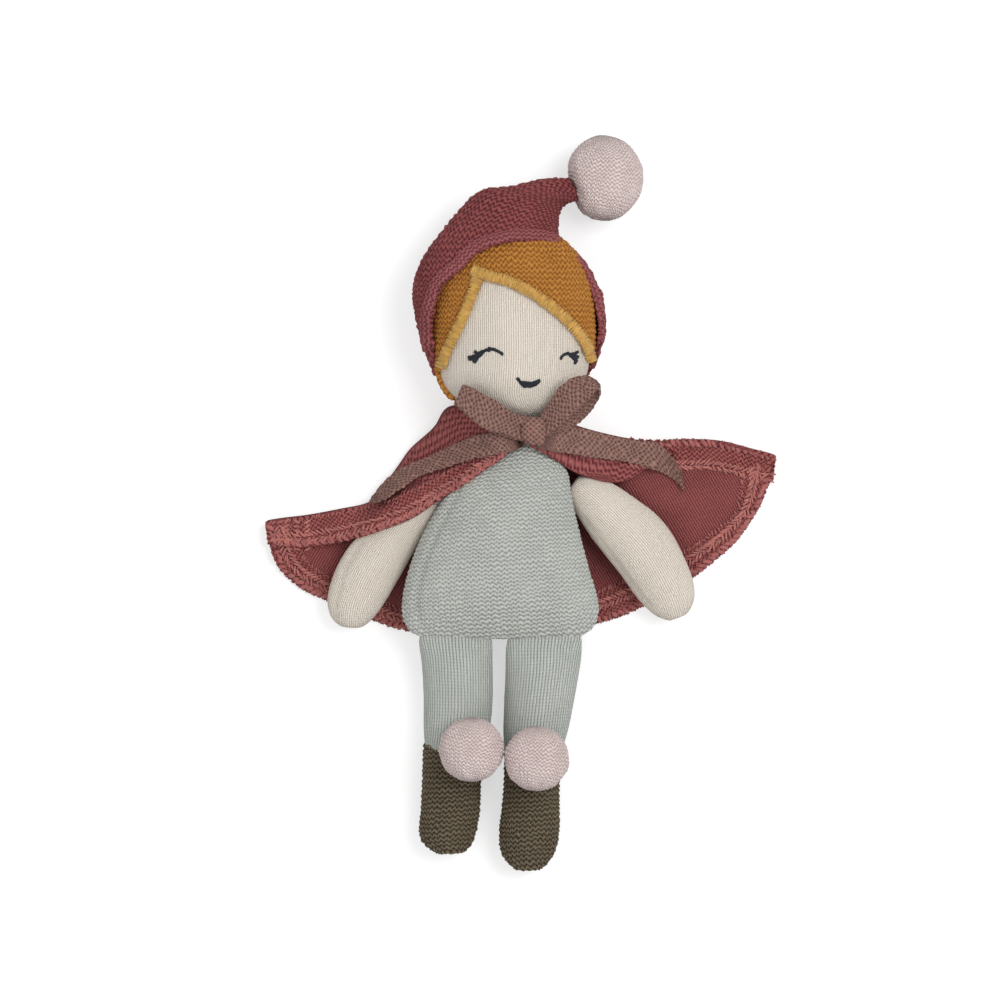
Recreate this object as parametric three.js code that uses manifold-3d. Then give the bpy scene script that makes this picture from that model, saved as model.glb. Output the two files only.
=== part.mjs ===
// Plush elf doll in a cape and a pointed hat, lying on its back on its spread cape.
// Millimetres. X runs across the shoulders, Y from the feet to the hat, Z up out of the chest.
// Every piece is laid out from the middle of the neck seam, and the finished group is moved
// so that its origin is in the middle of the surface it lies on.

import * as THREE from "three";
import { mergeVertices } from "three/addons/utils/BufferGeometryUtils.js";
import Module from "manifold-3d";

const wasm = await Module();
wasm.setup();

// Clearances and cloth thicknesses
const sewnGap = 0.3; // between pieces that are sewn or rest together
const drapeGap = 0.9; // under cloth that lies loosely over a limb
const overrunLength = 4; // how far a cutter passes through what it cuts
const smallestWidth = 0.15; // the least half width of a padded piece's section
const restCutDepth = 0.5; // how deep the padded pieces are pressed flat by the surface
const jerseyThickness = 0.9;
const knitThickness = 1.3;
const tapeThickness = 0.7;

// Head and face
const headWidth = 47.4;
const headHeight = 55.2;
const headThickness = 33;
const headOffset = -2.1;
const chinHeight = 3;
const neckWidth = 14;
const neckThickness = 12;
const neckHoleRadius = 4;
const hairThickness = 1.5;
const satinWidth = 3.6;
const satinThickness = 1;
const threadWidth = 1;
const threadThickness = 0.5;

// Hat
const hatWidth = 56.4;
const hatHeight = 59;
const hatThickness = 38.4;
const hatOffset = 0.45;
const hatSlumpWidth = 5;
const hatBottomHeight = 12;
const brimWidth = 3.9;
const brimProudHeight = 0.5;
const faceOpeningWidth = 50.4;
const faceOpeningHeight = 51.6;
const hatTipRadius = 6;
const tipLength = 10.5;
const tipRiseShare = 0.335;
const pomLength = 13.5;
const pomSocketShare = 0.75; // of the tip's radius
const tipEndHeight = 2; // how far the tip's lower end lies above the ball's middle
const pomTurn = THREE.MathUtils.degToRad(24);
const tipTurns = [-15, 0, 15, 30, 45].map(THREE.MathUtils.degToRad);
const armLifts = [50, 60, 70].map(THREE.MathUtils.degToRad);
const hatPomRadius = 12;

// Torso
const torsoLength = 58.5;
const torsoWidth = 59.1;
const torsoThickness = 26;
const torsoTopDepth = 6.3;
const seamThickness = 4;
const sidePanelOffset = 3;

// Arms
const armLengthLeft = 50.5;
const armLengthRight = 49.5;
const armWidth = 17;
const armThickness = 13;
const shoulderRadius = 5;
const shoulderHeight = 2;
const armHoleRadius = 2.5;

// Legs and boots
const legLengthLeft = 29.7;
const legLengthRight = 32.1;
const legWidth = 22.8;
const legThickness = 19.2;
const legSpreadWidth = 26.4;
const legHipOffset = 6;
const ankleOffsetLeft = -0.3;
const ankleOffsetRight = -3;
const bootOffset = 1.8;
const bootLengthLeft = 34.2;
const bootLengthRight = 36.6;
const bootWidth = 18;
const bootThickness = 17.6;
const ankleHoleRadius = 6;
const bootPomRadius = 9.4;
const pomInsetDepth = 1.2;
const pomHoleRadius = 2;
const pomDropHeightLeft = 2;
const pomDropHeightRight = 2.6;
const pomOffsetLeft = 5;
const pomOffsetRight = 1.4;

// Cape
const capeWidth = 154.2;
const capeLength = 63.6;
const collarThickness = 1.8;
const foldHeight = 2.4;
const foldCount = 20;
const foldLength = 10;
const sectionLength = 2.3; // how far a section of a form counts along its line
const clothFall = 0.8;
const flatMargin = 3; // how far beside the body and arms the cape still lies flat
const armPathStart = 2; // the section of the arm from which the front leaves it free

// Neck ribbon and bow
const tapeWidth = 7.4;
const knotWidth = 8.4;
const knotHeight = 7.2;
const knotThickness = 6.4;
const loopLengthLeft = 19;
const loopLengthRight = 21;
const loopThickness = 5;
const loopTurnLeft = THREE.MathUtils.degToRad(28);
const loopTurnRight = THREE.MathUtils.degToRad(36);
const loopHeight = 8.2;
const loopStartShare = 0.56; // of the knot's width
const tailWidthLeft = 4.2;
const tailWidthRight = 7.2;

// Heights above the surface
const capeTop = knitThickness;
const torsoMid = capeTop + sewnGap + torsoThickness / 2;
const legMid = legThickness / 2 - restCutDepth;
const bootMid = bootThickness / 2 - restCutDepth;
const armMid = capeTop + sewnGap + armThickness / 2;
const hatMid = hatThickness / 2 - restCutDepth;
const headMid = hatMid + sewnGap;
const neckMid = (torsoMid + headMid) / 2;

const up = new THREE.Vector3(0, 0, 1);
const towardsFeet = new THREE.Vector3(0, -1, 0);
const towardsHat = new THREE.Vector3(0, 1, 0);
const crestSteps = 3; // how finely the height of a padded form is read between two of its sections

// Solids

function solidOf(geometry) {
  const bare = geometry.index && Object.keys(geometry.attributes).length === 1 ? geometry : geometry.clone();
  bare.deleteAttribute("normal");
  bare.deleteAttribute("uv");
  const merged = mergeVertices(bare, 1e-5);
  return new wasm.Manifold(
    new wasm.Mesh({
      numProp: 3,
      vertProperties: new Float32Array(merged.attributes.position.array),
      triVerts: new Uint32Array(merged.index.array),
    }),
  );
}

function geometryOf(solid) {
  const mesh = solid.getMesh();
  const geometry = new THREE.BufferGeometry();
  geometry.setAttribute("position", new THREE.BufferAttribute(new Float32Array(mesh.vertProperties), 3));
  geometry.setIndex(new THREE.BufferAttribute(new Uint32Array(mesh.triVerts), 1));
  return geometry;
}

function joined(...solids) {
  return solids.reduce((whole, solid) => whole.add(solid));
}

function cut(solid, ...cutters) {
  return cutters.reduce((left, cutter) => left.subtract(cutter), solid);
}

// The largest body of a solid, without slivers that a cut leaves beside a seam
function largest(solid) {
  return solid.decompose().sort((one, other) => other.volume() - one.volume())[0];
}

function moved(solid, x, y, z) {
  return solidOf(geometryOf(solid).translate(x, y, z));
}

function turned(solid, pivot, angle) {
  const geometry = geometryOf(solid).translate(-pivot.x, -pivot.y, 0);
  return solidOf(geometry.rotateZ(angle).translate(pivot.x, pivot.y, 0));
}

// An upright prism over a plan outline, from one height to another.
function prism(outline, low, high) {
  const geometry = new THREE.ExtrudeGeometry(new THREE.Shape(outline), {
    depth: high - low,
    bevelEnabled: false,
  });
  geometry.translate(0, 0, low);
  return solidOf(geometry);
}

function block(low, high) {
  const size = new THREE.Vector3().subVectors(high, low);
  const geometry = new THREE.BoxGeometry(size.x, size.y, size.z);
  geometry.translate(...new THREE.Vector3().addVectors(low, high).multiplyScalar(0.5).toArray());
  return solidOf(geometry);
}

// A round bar from one point towards another, used for openings and sockets.
function bar(start, end, radius, sides = 12) {
  const along = new THREE.Vector3().subVectors(end, start);
  const geometry = new THREE.CylinderGeometry(radius, radius, along.length(), sides);
  geometry.applyQuaternion(
    new THREE.Quaternion().setFromUnitVectors(new THREE.Vector3(0, 1, 0), along.clone().normalize()),
  );
  geometry.translate(...new THREE.Vector3().addVectors(start, end).multiplyScalar(0.5).toArray());
  return solidOf(geometry);
}

function ball(centre, radius, columns = 12, rows = 8) {
  const geometry = new THREE.SphereGeometry(radius, columns, rows);
  geometry.rotateX(Math.PI / 2);
  geometry.translate(centre.x, centre.y, centre.z);
  return solidOf(geometry);
}

// A smooth value through a list of shares, read at a place from 0 to 1.
function readShares(shares, place) {
  const spot = THREE.MathUtils.clamp(place, 0, 1) * (shares.length - 1);
  const first = Math.min(Math.floor(spot), shares.length - 2);
  const value = (index) => shares[THREE.MathUtils.clamp(index, 0, shares.length - 1)];
  const [before, low, high, after] = [first - 1, first, first + 1, first + 2].map(value);
  const [inSlope, outSlope] = [(high - before) / 2, (after - low) / 2];
  const [step, rise] = [spot - first, high - low];
  return (
    low + step * (inSlope + step * (3 * rise - 2 * inSlope - outSlope + step * (inSlope + outSlope - 2 * rise)))
  );
}

// A padded form: oval sections of changing width and thickness along a line.
// Its solid can be asked for with the surface moved out or in by an amount.
function paddedForm({ line, widths, thicknesses, rings, sides = 12, squareness = 2.2, facing }) {
  const route = new THREE.CatmullRomCurve3(line);
  const stations = [];
  for (let ring = 0; ring <= rings; ring += 1) {
    const even = ring / rings;
    const place = (even + (1 - Math.cos(even * Math.PI)) / 2) / 2;
    const tangent = facing ?? route.getTangent(place).setZ(0).normalize();
    stations.push({
      centre: route.getPoint(place),
      tangent,
      across: new THREE.Vector3().crossVectors(tangent, up),
      halfWidth: readShares(widths, place) / 2,
      halfThickness: readShares(thicknesses, place) / 2,
    });
  }
  const roundOff = (value) => Math.sign(value) * Math.abs(value) ** (2 / squareness);

  // The sections of the form moved in by a wall: those nearer to an end than the wall are left out.
  function inner(wall) {
    const marks = [0];
    stations.slice(1).forEach(({ centre }, index) => {
      marks.push(marks[index] + centre.distanceTo(stations[index].centre));
    });
    const [first, last] = [wall, marks[rings] - wall];
    const between = (mark) => {
      const next = Math.max(marks.findIndex((value) => value >= mark), 1);
      const share = (mark - marks[next - 1]) / (marks[next] - marks[next - 1]);
      const [low, high] = [stations[next - 1], stations[next]];
      return {
        centre: low.centre.clone().lerp(high.centre, share),
        tangent: low.tangent.clone().lerp(high.tangent, share).normalize(),
        across: low.across.clone().lerp(high.across, share).normalize(),
        halfWidth: THREE.MathUtils.lerp(low.halfWidth, high.halfWidth, share),
        halfThickness: THREE.MathUtils.lerp(low.halfThickness, high.halfThickness, share),
      };
    };
    const apart = (index) => marks[index] > first + wall / 4 && marks[index] < last - wall / 4;
    const kept = stations.filter((_, index) => apart(index));
    return [between(first), ...kept, between(last)];
  }

  function solid(grow = 0) {
    const points = [];
    const faces = [];
    const sections = grow < 0 ? inner(-grow) : stations;
    const count = sections.length - 1;
    sections.forEach(({ centre, tangent, across, halfWidth, halfThickness }, ring) => {
      const end = ring === 0 ? -1 : ring === count ? 1 : 0;
      const middle = centre.clone().addScaledVector(tangent, end * Math.max(grow, 0));
      const grown = [halfWidth + grow, halfThickness + grow];
      const [wide, thick] = grown.map((size) => Math.max(size, smallestWidth));
      for (let side = 0; side < sides; side += 1) {
        const angle = (side / sides) * 2 * Math.PI;
        const point = middle.clone().addScaledVector(across, roundOff(Math.cos(angle)) * wide);
        points.push(point.addScaledVector(up, roundOff(Math.sin(angle)) * thick));
      }
    });
    for (let ring = 0; ring < count; ring += 1) {
      for (let side = 0; side < sides; side += 1) {
        const [a, b] = [ring * sides + side, ring * sides + ((side + 1) % sides)];
        faces.push([a, b, b + sides], [a, b + sides, a + sides]);
      }
    }
    const last = count * sides;
    for (let side = 1; side < sides - 1; side += 1) {
      faces.push([0, side + 1, side], [last, last + side, last + side + 1]);
    }
    return closedSolid(points, faces);
  }

  // Height of the upper surface at a plan point, falling away evenly beside the form.
  function crest(x, y, fall) {
    let height = -Infinity;
    for (let ring = 0; ring < rings; ring += 1) {
      const [here, next] = [stations[ring], stations[ring + 1]];
      const spacing = here.centre.distanceTo(next.centre) / crestSteps;
      for (let step = 0; step < crestSteps; step += 1) {
        const part = (step + 0.5) / crestSteps;
        const middle = here.centre.clone().lerp(next.centre, part);
        const wide = THREE.MathUtils.lerp(here.halfWidth, next.halfWidth, part);
        const thick = THREE.MathUtils.lerp(here.halfThickness, next.halfThickness, part);
        const [dx, dy] = [x - middle.x, y - middle.y];
        const beside = Math.abs(dx * here.across.x + dy * here.across.y);
        const past = Math.max(Math.abs(dx * here.tangent.x + dy * here.tangent.y) - spacing, 0);
        const beyond = Math.hypot(Math.max(beside - wide, 0), past);
        const share = Math.min(beside / wide, 1);
        height = Math.max(height, middle.z + thick * Math.sqrt(1 - share * share) - beyond * fall);
      }
    }
    return height;
  }
  return { solid, crest, stations };
}

// A closed solid from points and triangles, turned right side out.
function closedSolid(points, faces) {
  const geometry = new THREE.BufferGeometry().setFromPoints(points);
  geometry.setIndex(faces.flat());
  const solid = solidOf(geometry);
  if (solid.volume() > 0) return solid;
  geometry.setIndex(faces.flatMap(([a, b, c]) => [a, c, b]));
  return solidOf(geometry);
}

// A sheet of cloth over a grid of plan places, with its lower face given and its thickness upwards.
function clothSolid(columns, rows, place, thickness) {
  const points = [];
  const faces = [];
  const layer = (columns + 1) * (rows + 1);
  for (const lift of [0, thickness]) {
    for (let row = 0; row <= rows; row += 1) {
      for (let column = 0; column <= columns; column += 1) {
        points.push(place(column / columns, row / rows).addScaledVector(up, lift));
      }
    }
  }
  const at = (column, row) => row * (columns + 1) + column;
  for (let row = 0; row < rows; row += 1) {
    for (let column = 0; column < columns; column += 1) {
      const [a, b, c, d] = [at(column, row), at(column + 1, row), at(column + 1, row + 1), at(column, row + 1)];
      faces.push([a, c, b], [a, d, c]);
      faces.push([a + layer, b + layer, c + layer], [a + layer, c + layer, d + layer]);
    }
  }
  const rim = [];
  for (let column = 0; column < columns; column += 1) rim.push(at(column, 0));
  for (let row = 0; row < rows; row += 1) rim.push(at(columns, row));
  for (let column = columns; column > 0; column -= 1) rim.push(at(column, rows));
  for (let row = rows; row > 0; row -= 1) rim.push(at(0, row));
  rim.forEach((here, index) => {
    const next = rim[(index + 1) % rim.length];
    faces.push([here, next, next + layer], [here, next + layer, here + layer]);
  });
  return closedSolid(points, faces);
}

// A four-sided patch of the plan, filled in from its left, right, inner and outer edge curves.
function planPatch({ left, right, inner, outer }) {
  const curve = (points) => new THREE.SplineCurve(points);
  const [leftCurve, rightCurve, innerCurve, outerCurve] = [left, right, inner, outer].map(curve);
  return (across, down) => {
    const mixed = new THREE.Vector2();
    mixed.addScaledVector(innerCurve.getPoint(across), 1 - down);
    mixed.addScaledVector(outerCurve.getPoint(across), down);
    mixed.addScaledVector(leftCurve.getPoint(down), 1 - across);
    mixed.addScaledVector(rightCurve.getPoint(down), across);
    mixed.addScaledVector(innerCurve.getPoint(0), -(1 - across) * (1 - down));
    mixed.addScaledVector(innerCurve.getPoint(1), -across * (1 - down));
    mixed.addScaledVector(outerCurve.getPoint(0), -(1 - across) * down);
    mixed.addScaledVector(outerCurve.getPoint(1), -across * down);
    return mixed;
  };
}

// Plan points from shares of a width and a height about a middle.
function planPoints(shares, width, height, middle = new THREE.Vector2()) {
  return shares.map(([x, y]) => new THREE.Vector2(middle.x + x * width, middle.y + y * height));
}

// The outline of a stroke of thread or tape along plan points.
function strokeOutline(points, width) {
  const curve = new THREE.SplineCurve(points);
  const steps = (points.length - 1) * 2;
  const [near, far] = [[], []];
  for (let step = 0; step <= steps; step += 1) {
    const point = curve.getPoint(step / steps);
    const tangent = curve.getTangent(step / steps);
    const side = new THREE.Vector2(-tangent.y, tangent.x).multiplyScalar(width / 2);
    near.push(point.clone().add(side));
    far.unshift(point.clone().sub(side));
  }
  return [...near, ...far];
}

// A layer that lies on a form: between two distances from its surface.
function layerOn(form, inside, outside) {
  return form.solid(outside).subtract(form.solid(inside));
}

// Torso: one padded form, covered by a front and a back panel that meet at the side seams

const torsoLineShares = [
  [0.02, 0], [0.015, -0.04], [0.01, -0.1], [-0.046, -0.2], [-0.076, -0.35], [-0.096, -0.5],
  [-0.107, -0.65], [-0.102, -0.8], [-0.104, -0.92], [-0.104, -0.98], [-0.104, -1],
];
const torsoWidthShares = [0.1, 0.22, 0.345, 0.58, 0.695, 0.81, 0.92, 1, 0.965, 0.875, 0.77];
const torsoThicknessShares = [0.3, 0.46, 0.64, 0.8, 0.92, 0.98, 1, 0.95, 0.64, 0.3, 0.16];
const torsoTop = -torsoTopDepth;
const torsoBottom = torsoTop - torsoLength;
const torsoLine = torsoLineShares.map(
  ([x, y]) => new THREE.Vector3(x * torsoWidth, torsoTop + y * torsoLength, torsoMid),
);
const torso = paddedForm({
  line: torsoLine,
  widths: torsoWidthShares.map((share) => share * torsoWidth),
  thicknesses: torsoThicknessShares.map((share) => share * torsoThickness),
  rings: 10,
  sides: 14,
  facing: towardsFeet,
});

// Neck: a short padded column between the torso and the head

const neckX = 0.01 * torsoWidth;
const neckTop = chinHeight - 2 * sewnGap;

function neckColumn(grow, low, high) {
  const geometry = new THREE.CylinderGeometry(1, 1, high - low, 20);
  geometry.scale(neckWidth / 2 + grow, 1, neckThickness / 2 + grow);
  geometry.translate(neckX, (low + high) / 2, neckMid);
  return solidOf(geometry);
}

// Head

const headLineShares = [0, 0.016, 0.055, 0.1, 0.19, 0.35, 0.52, 0.68, 0.815, 0.925, 0.97, 1];
const headWidthShares = [0.22, 0.43, 0.68, 0.82, 0.95, 1, 1, 0.965, 0.87, 0.67, 0.45, 0.16];
const head = paddedForm({
  line: headLineShares.map((share) => new THREE.Vector3(headOffset, chinHeight + share * headHeight, headMid)),
  widths: headWidthShares.map((share) => share * headWidth),
  thicknesses: headWidthShares.map((share) => share * headThickness),
  rings: 10,
  sides: 14,
  facing: towardsHat,
});
const chinPoint = new THREE.Vector2(headOffset, chinHeight);
const facePoints = (shares) => planPoints(shares, headWidth, headHeight, chinPoint);

function onFace(outlines, inside, thickness) {
  const above = joined(...outlines.map((outline) => prism(outline, headMid, headMid + headThickness)));
  return layerOn(head, inside, inside + thickness).intersect(above);
}

const hairlineShares = {
  left: [[-0.24, 0.755], [-0.335, 0.6], [-0.418, 0.435], [-0.485, 0.3]],
  right: [[-0.2, 0.76], [-0.032, 0.717], [0.114, 0.636], [0.323, 0.484], [0.468, 0.375], [0.506, 0.3]],
};
const hairShares = {
  left: [
    [-0.245, 0.86], [-0.6, 0.86], [-0.6, 0.27], [-0.505, 0.29], [-0.418, 0.435], [-0.335, 0.6], [-0.245, 0.755],
  ],
  right: [
    [-0.236, 0.86], [0.6, 0.86], [0.6, 0.27], [0.525, 0.29], [0.468, 0.375], [0.323, 0.484], [0.114, 0.636],
    [-0.032, 0.717], [-0.236, 0.765],
  ],
};
const eyeShares = {
  left: [
    [[-0.285, 0.304], [-0.241, 0.337], [-0.184, 0.353], [-0.12, 0.348], [-0.063, 0.321]],
    [[-0.241, 0.34], [-0.272, 0.277]],
    [[-0.196, 0.352], [-0.247, 0.272]],
  ],
  right: [
    [[0.291, 0.304], [0.323, 0.326], [0.367, 0.332], [0.405, 0.31]],
    [[0.355, 0.33], [0.424, 0.342]],
    [[0.373, 0.325], [0.392, 0.277]],
  ],
};
const mouthShares = [[[0.032, 0.19], [0.07, 0.158], [0.12, 0.163], [0.177, 0.19]]];

// Hat: a knitted bag over the head with an opening for the face, a hem round the opening,
// a drooping tip and a ball

const hatLineShares = [0, 0.13, 0.28, 0.43, 0.54, 0.65, 0.74, 0.82, 0.885, 0.935, 0.97, 1];
const hatSlumpShares = [0, 0, -0.06, 0.09, 0.3, 0.42, 0.7, 0.58, 0.7, 0.88, 1, 0.94];
const hatWidthShares = [0.82, 0.91, 0.975, 1, 0.975, 0.86, 0.69, 0.59, 0.48, 0.36, 0.23, 0.08];
const hatThicknessShares = [0.975, 0.985, 1, 1, 0.97, 0.88, 0.77, 0.66, 0.53, 0.42, 0.28, 0.1];
const hat = paddedForm({
  line: hatLineShares.map(
    (share, index) =>
      new THREE.Vector3(
        headOffset - hatOffset - hatSlumpShares[index] * hatSlumpWidth,
        hatBottomHeight + share * hatHeight,
        hatMid,
      ),
  ),
  widths: hatWidthShares.map((share) => share * hatWidth),
  thicknesses: hatThicknessShares.map((share) => share * hatThickness),
  rings: 10,
  sides: 14,
  facing: towardsHat,
});
const faceOpeningShares = [
  [-0.494, -0.3], [-0.494, 0.38], [-0.5, 0.55], [-0.47, 0.68], [-0.417, 0.77], [-0.321, 0.86], [-0.185, 0.96],
  [-0.071, 0.994], [0.155, 1], [0.327, 0.913], [0.393, 0.826], [0.452, 0.727], [0.482, 0.605], [0.506, 0.506],
  [0.488, 0.38], [0.476, -0.3],
];
const openingMiddle = new THREE.Vector2(headOffset + 0.025 * headWidth, chinHeight);
const openingOutline = (grow) =>
  planPoints(faceOpeningShares, faceOpeningWidth + 2 * grow, faceOpeningHeight + grow, openingMiddle);
const openingPrism = (grow) => prism(openingOutline(grow), hatMid, hatThickness + overrunLength);
const belowHat = block(
  new THREE.Vector3(-hatWidth, -hatHeight, -overrunLength),
  new THREE.Vector3(hatWidth, hatBottomHeight + 2 * knitThickness, hatThickness + overrunLength),
);
const hatRoom = (grow) => hat.solid(grow).subtract(hat.solid(-knitThickness - grow));

// The hem round the face opening, a little proud of the hat, and the room it takes with a clearance
function brimSolid(grow) {
  const shell = hat.solid(brimProudHeight + grow).subtract(hat.solid(-knitThickness - grow));
  return shell.intersect(openingPrism(brimWidth + grow)).subtract(openingPrism(-grow));
}

// The tip is a soft cone whose round root turns in the hole at the top of the hat

const tipPivot = new THREE.Vector3(headOffset + 0.08 * hatWidth, hatBottomHeight + 0.905 * hatHeight, hatMid);
const tipDroop = hatMid - (hatPomRadius - restCutDepth) - tipEndHeight;
const pomPivot = tipPivot.clone().add(new THREE.Vector3(tipLength, tipLength * tipRiseShare, -tipDroop));
const tipLineShares = [
  [-0.5, -0.29, 0], [-0.44, -0.25, 0], [-0.25, -0.14, 0], [0, 0, 0], [0.48, 0.22, -0.25],
  [0.8, 0.315, -0.7], [1, 0.335, -1], [1.24, 0.39, -1.1], [1.4, 0.43, -1.15],
];
const tipWidthShares = [0.1, 0.5, 0.87, 1, 0.93, 0.83, 0.75, 0.62, 0.12];
const hatTip = paddedForm({
  line: tipLineShares.map(([x, y, z]) =>
    new THREE.Vector3(x * tipLength, y * tipLength, z * tipDroop).add(tipPivot),
  ),
  widths: tipWidthShares.map((share) => 2 * share * hatTipRadius),
  thicknesses: tipWidthShares.map((share) => 2 * share * hatTipRadius),
  rings: 8,
  sides: 10,
  squareness: 2,
});
const pomCentre = pomPivot
  .clone()
  .add(new THREE.Vector3(pomLength * Math.cos(pomTurn), pomLength * Math.sin(pomTurn), 0))
  .setZ(hatPomRadius - restCutDepth);

// Arms

function armForm(lineShares, widthShares, length, shoulder) {
  const thicknessShares = [0.2, 0.55, 0.71, 0.77, 0.88, 0.97, 1, 1, 1, 0.97, 0.85, 0.58, 0.15];
  const riseShares = [1, 1, 1, 1, 0.7, 0.35, 0.1, 0, 0, 0, 0, 0, 0];
  const form = paddedForm({
    line: lineShares.map(
      ([x, y], index) =>
        new THREE.Vector3(x * length, y * length, (riseShares[index] - 1) * shoulderHeight).add(shoulder),
    ),
    widths: widthShares.map((share) => share * armWidth),
    thicknesses: thicknessShares.map((share) => share * armThickness),
    rings: 9,
    sides: 10,
  });
  return form;
}

const armShares = {
  left: [
    [0.042, 0.077], [0.033, 0.059], [0.018, 0.03], [0, 0], [-0.059, -0.083], [-0.172, -0.19], [-0.291, -0.339],
    [-0.401, -0.475], [-0.469, -0.588], [-0.508, -0.683], [-0.532, -0.763], [-0.547, -0.811], [-0.552, -0.838],
  ],
  right: [
    [-0.061, 0.085], [-0.048, 0.064], [-0.024, 0.03], [0, 0], [0.079, -0.079], [0.158, -0.152], [0.255, -0.267],
    [0.352, -0.382], [0.442, -0.515], [0.488, -0.6], [0.539, -0.67], [0.57, -0.713], [0.582, -0.733],
  ],
};
const armWidthShares = {
  left: [0.14, 0.35, 0.51, 0.6, 0.71, 0.85, 0.92, 0.97, 0.99, 0.95, 0.83, 0.53, 0.1],
  right: [0.18, 0.42, 0.58, 0.67, 0.85, 0.97, 1, 1.02, 1, 0.97, 0.84, 0.53, 0.1],
};
const shoulderPoint = {
  left: new THREE.Vector3(-0.416 * torsoWidth, torsoTop - 0.205 * torsoLength, armMid + shoulderHeight),
  right: new THREE.Vector3(0.345 * torsoWidth, torsoTop - 0.251 * torsoLength, armMid + shoulderHeight),
};
const armDirection = {
  left: new THREE.Vector3(-0.508, -0.861, 0),
  right: new THREE.Vector3(0.58, -0.815, 0),
};
const arms = {
  left: armForm(armShares.left, armWidthShares.left, armLengthLeft, shoulderPoint.left),
  right: armForm(armShares.right, armWidthShares.right, armLengthRight, shoulderPoint.right),
};

// The padded body's plan outline as an upright wall, from its lowest point to above everything
function planWall(form, grow, firstStation = 0) {
  const near = [];
  const far = [];
  form.stations.slice(firstStation).forEach(({ centre, across, halfWidth }) => {
    const reach = halfWidth + grow;
    near.push(new THREE.Vector2(centre.x + across.x * reach, centre.y + across.y * reach));
    far.unshift(new THREE.Vector2(centre.x - across.x * reach, centre.y - across.y * reach));
  });
  return prism([...near, ...far], -overrunLength, hatThickness + overrunLength);
}

function shoulderBar(side, grow) {
  const hinge = new THREE.Vector3(-armDirection[side].y, armDirection[side].x, 0);
  const reach = armWidth / 2 + grow;
  return bar(
    shoulderPoint[side].clone().addScaledVector(hinge, -reach),
    shoulderPoint[side].clone().addScaledVector(hinge, reach),
    shoulderRadius + grow,
    20,
  );
}

function behindShoulder(side) {
  const size = armWidth * 2;
  const geometry = new THREE.BoxGeometry(size, size, size);
  geometry.translate(-size / 2, 0, 0);
  geometry.rotateZ(Math.atan2(armDirection[side].y, armDirection[side].x));
  geometry.translate(...shoulderPoint[side].toArray());
  return solidOf(geometry);
}

// Beyond the hinge an arm stays clear of the torso's side, and at the hinge it is a round root.
function armSolid(side, grow) {
  const whole = arms[side].solid(grow);
  const root = whole.intersect(shoulderBar(side, Math.min(grow, 0)));
  return cut(whole, behindShoulder(side), planWall(torso, 1.5 * sewnGap - grow)).add(root);
}

// An arm turned up about its hinge, to clear what it passes as it rises
function liftedArm(side, angle) {
  const hinge = new THREE.Vector3(armDirection[side].y, -armDirection[side].x, 0).normalize();
  const pivot = shoulderPoint[side].clone();
  const geometry = geometryOf(armSolid(side, sewnGap)).translate(-pivot.x, -pivot.y, -pivot.z);
  geometry.applyQuaternion(new THREE.Quaternion().setFromAxisAngle(hinge, angle));
  return solidOf(geometry.translate(pivot.x, pivot.y, pivot.z));
}

function armOpening(side) {
  const reach = shoulderRadius + overrunLength;
  const start = shoulderPoint[side].clone().addScaledVector(armDirection[side], -reach);
  return bar(start, shoulderPoint[side], armHoleRadius);
}

// Legs and boots

const hipEnd = torsoBottom - sewnGap;
const hipRadius = seamThickness / 2;
const hipLine = -legHipOffset;

function legForm(side) {
  const length = side === "left" ? legLengthLeft : legLengthRight;
  const x = hipLine + (side === "left" ? -1 : 1) * legSpreadWidth / 2;
  const drift = side === "left" ? ankleOffsetLeft : ankleOffsetRight;
  const rootSteps = [0, 0.15, 0.5, 1].map((share) => share * hipRadius);
  const lengthSteps = [0.15, 0.29, 0.55, 0.8, 1].map((share) => share * length);
  const lowering = [0, 0, 0, 0, 0.3, 0.72, 1, 1, 1];
  return paddedForm({
    line: [...rootSteps, ...lengthSteps].map(
      (step, index) =>
        new THREE.Vector3(
          x + (drift * step) / length,
          hipEnd - step,
          THREE.MathUtils.lerp(torsoMid, legMid, lowering[index]),
        ),
    ),
    widths: [0.93, 0.96, 0.98, 1, 1, 0.98, 0.92, 0.87, 0.81].map((share) => share * legWidth),
    thicknesses: [
      ...[0.3, 0.55, 0.87, 1].map((share) => share * seamThickness),
      ...[0.45, 0.78, 0.98, 1, 0.95].map((share) => share * legThickness),
    ],
    rings: 8,
    facing: towardsFeet,
  });
}

function bootForm(side) {
  const legLength = side === "left" ? legLengthLeft : legLengthRight;
  const length = side === "left" ? bootLengthLeft : bootLengthRight;
  const leg = legs[side].stations[legs[side].stations.length - 1].centre;
  const top = hipEnd - legLength - sewnGap;
  const driftShares = [0.2, 0.5, 0.8, 1, 1, 0.8, 0.6];
  return paddedForm({
    line: [0, 0.2, 0.45, 0.7, 0.87, 0.96, 1].map(
      (share, index) => new THREE.Vector3(leg.x - driftShares[index] * bootOffset, top - share * length, bootMid),
    ),
    widths: [0.96, 1, 1, 0.97, 0.88, 0.64, 0.2].map((share) => share * bootWidth),
    thicknesses: [0.99, 1, 1, 1, 0.9, 0.64, 0.2].map((share) => share * bootThickness),
    rings: 7,
    facing: towardsFeet,
  });
}

const legs = { left: legForm("left"), right: legForm("right") };
const boots = { left: bootForm("left"), right: bootForm("right") };

function ankleBar(side, grow) {
  const end = legs[side].stations[legs[side].stations.length - 1].centre;
  const half = jerseyThickness + knitThickness + 2 * sewnGap;
  return bar(
    end.clone().setY(end.y - half).setZ(bootMid),
    end.clone().setY(end.y + half).setZ(bootMid),
    ankleHoleRadius + grow,
  );
}

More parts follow.
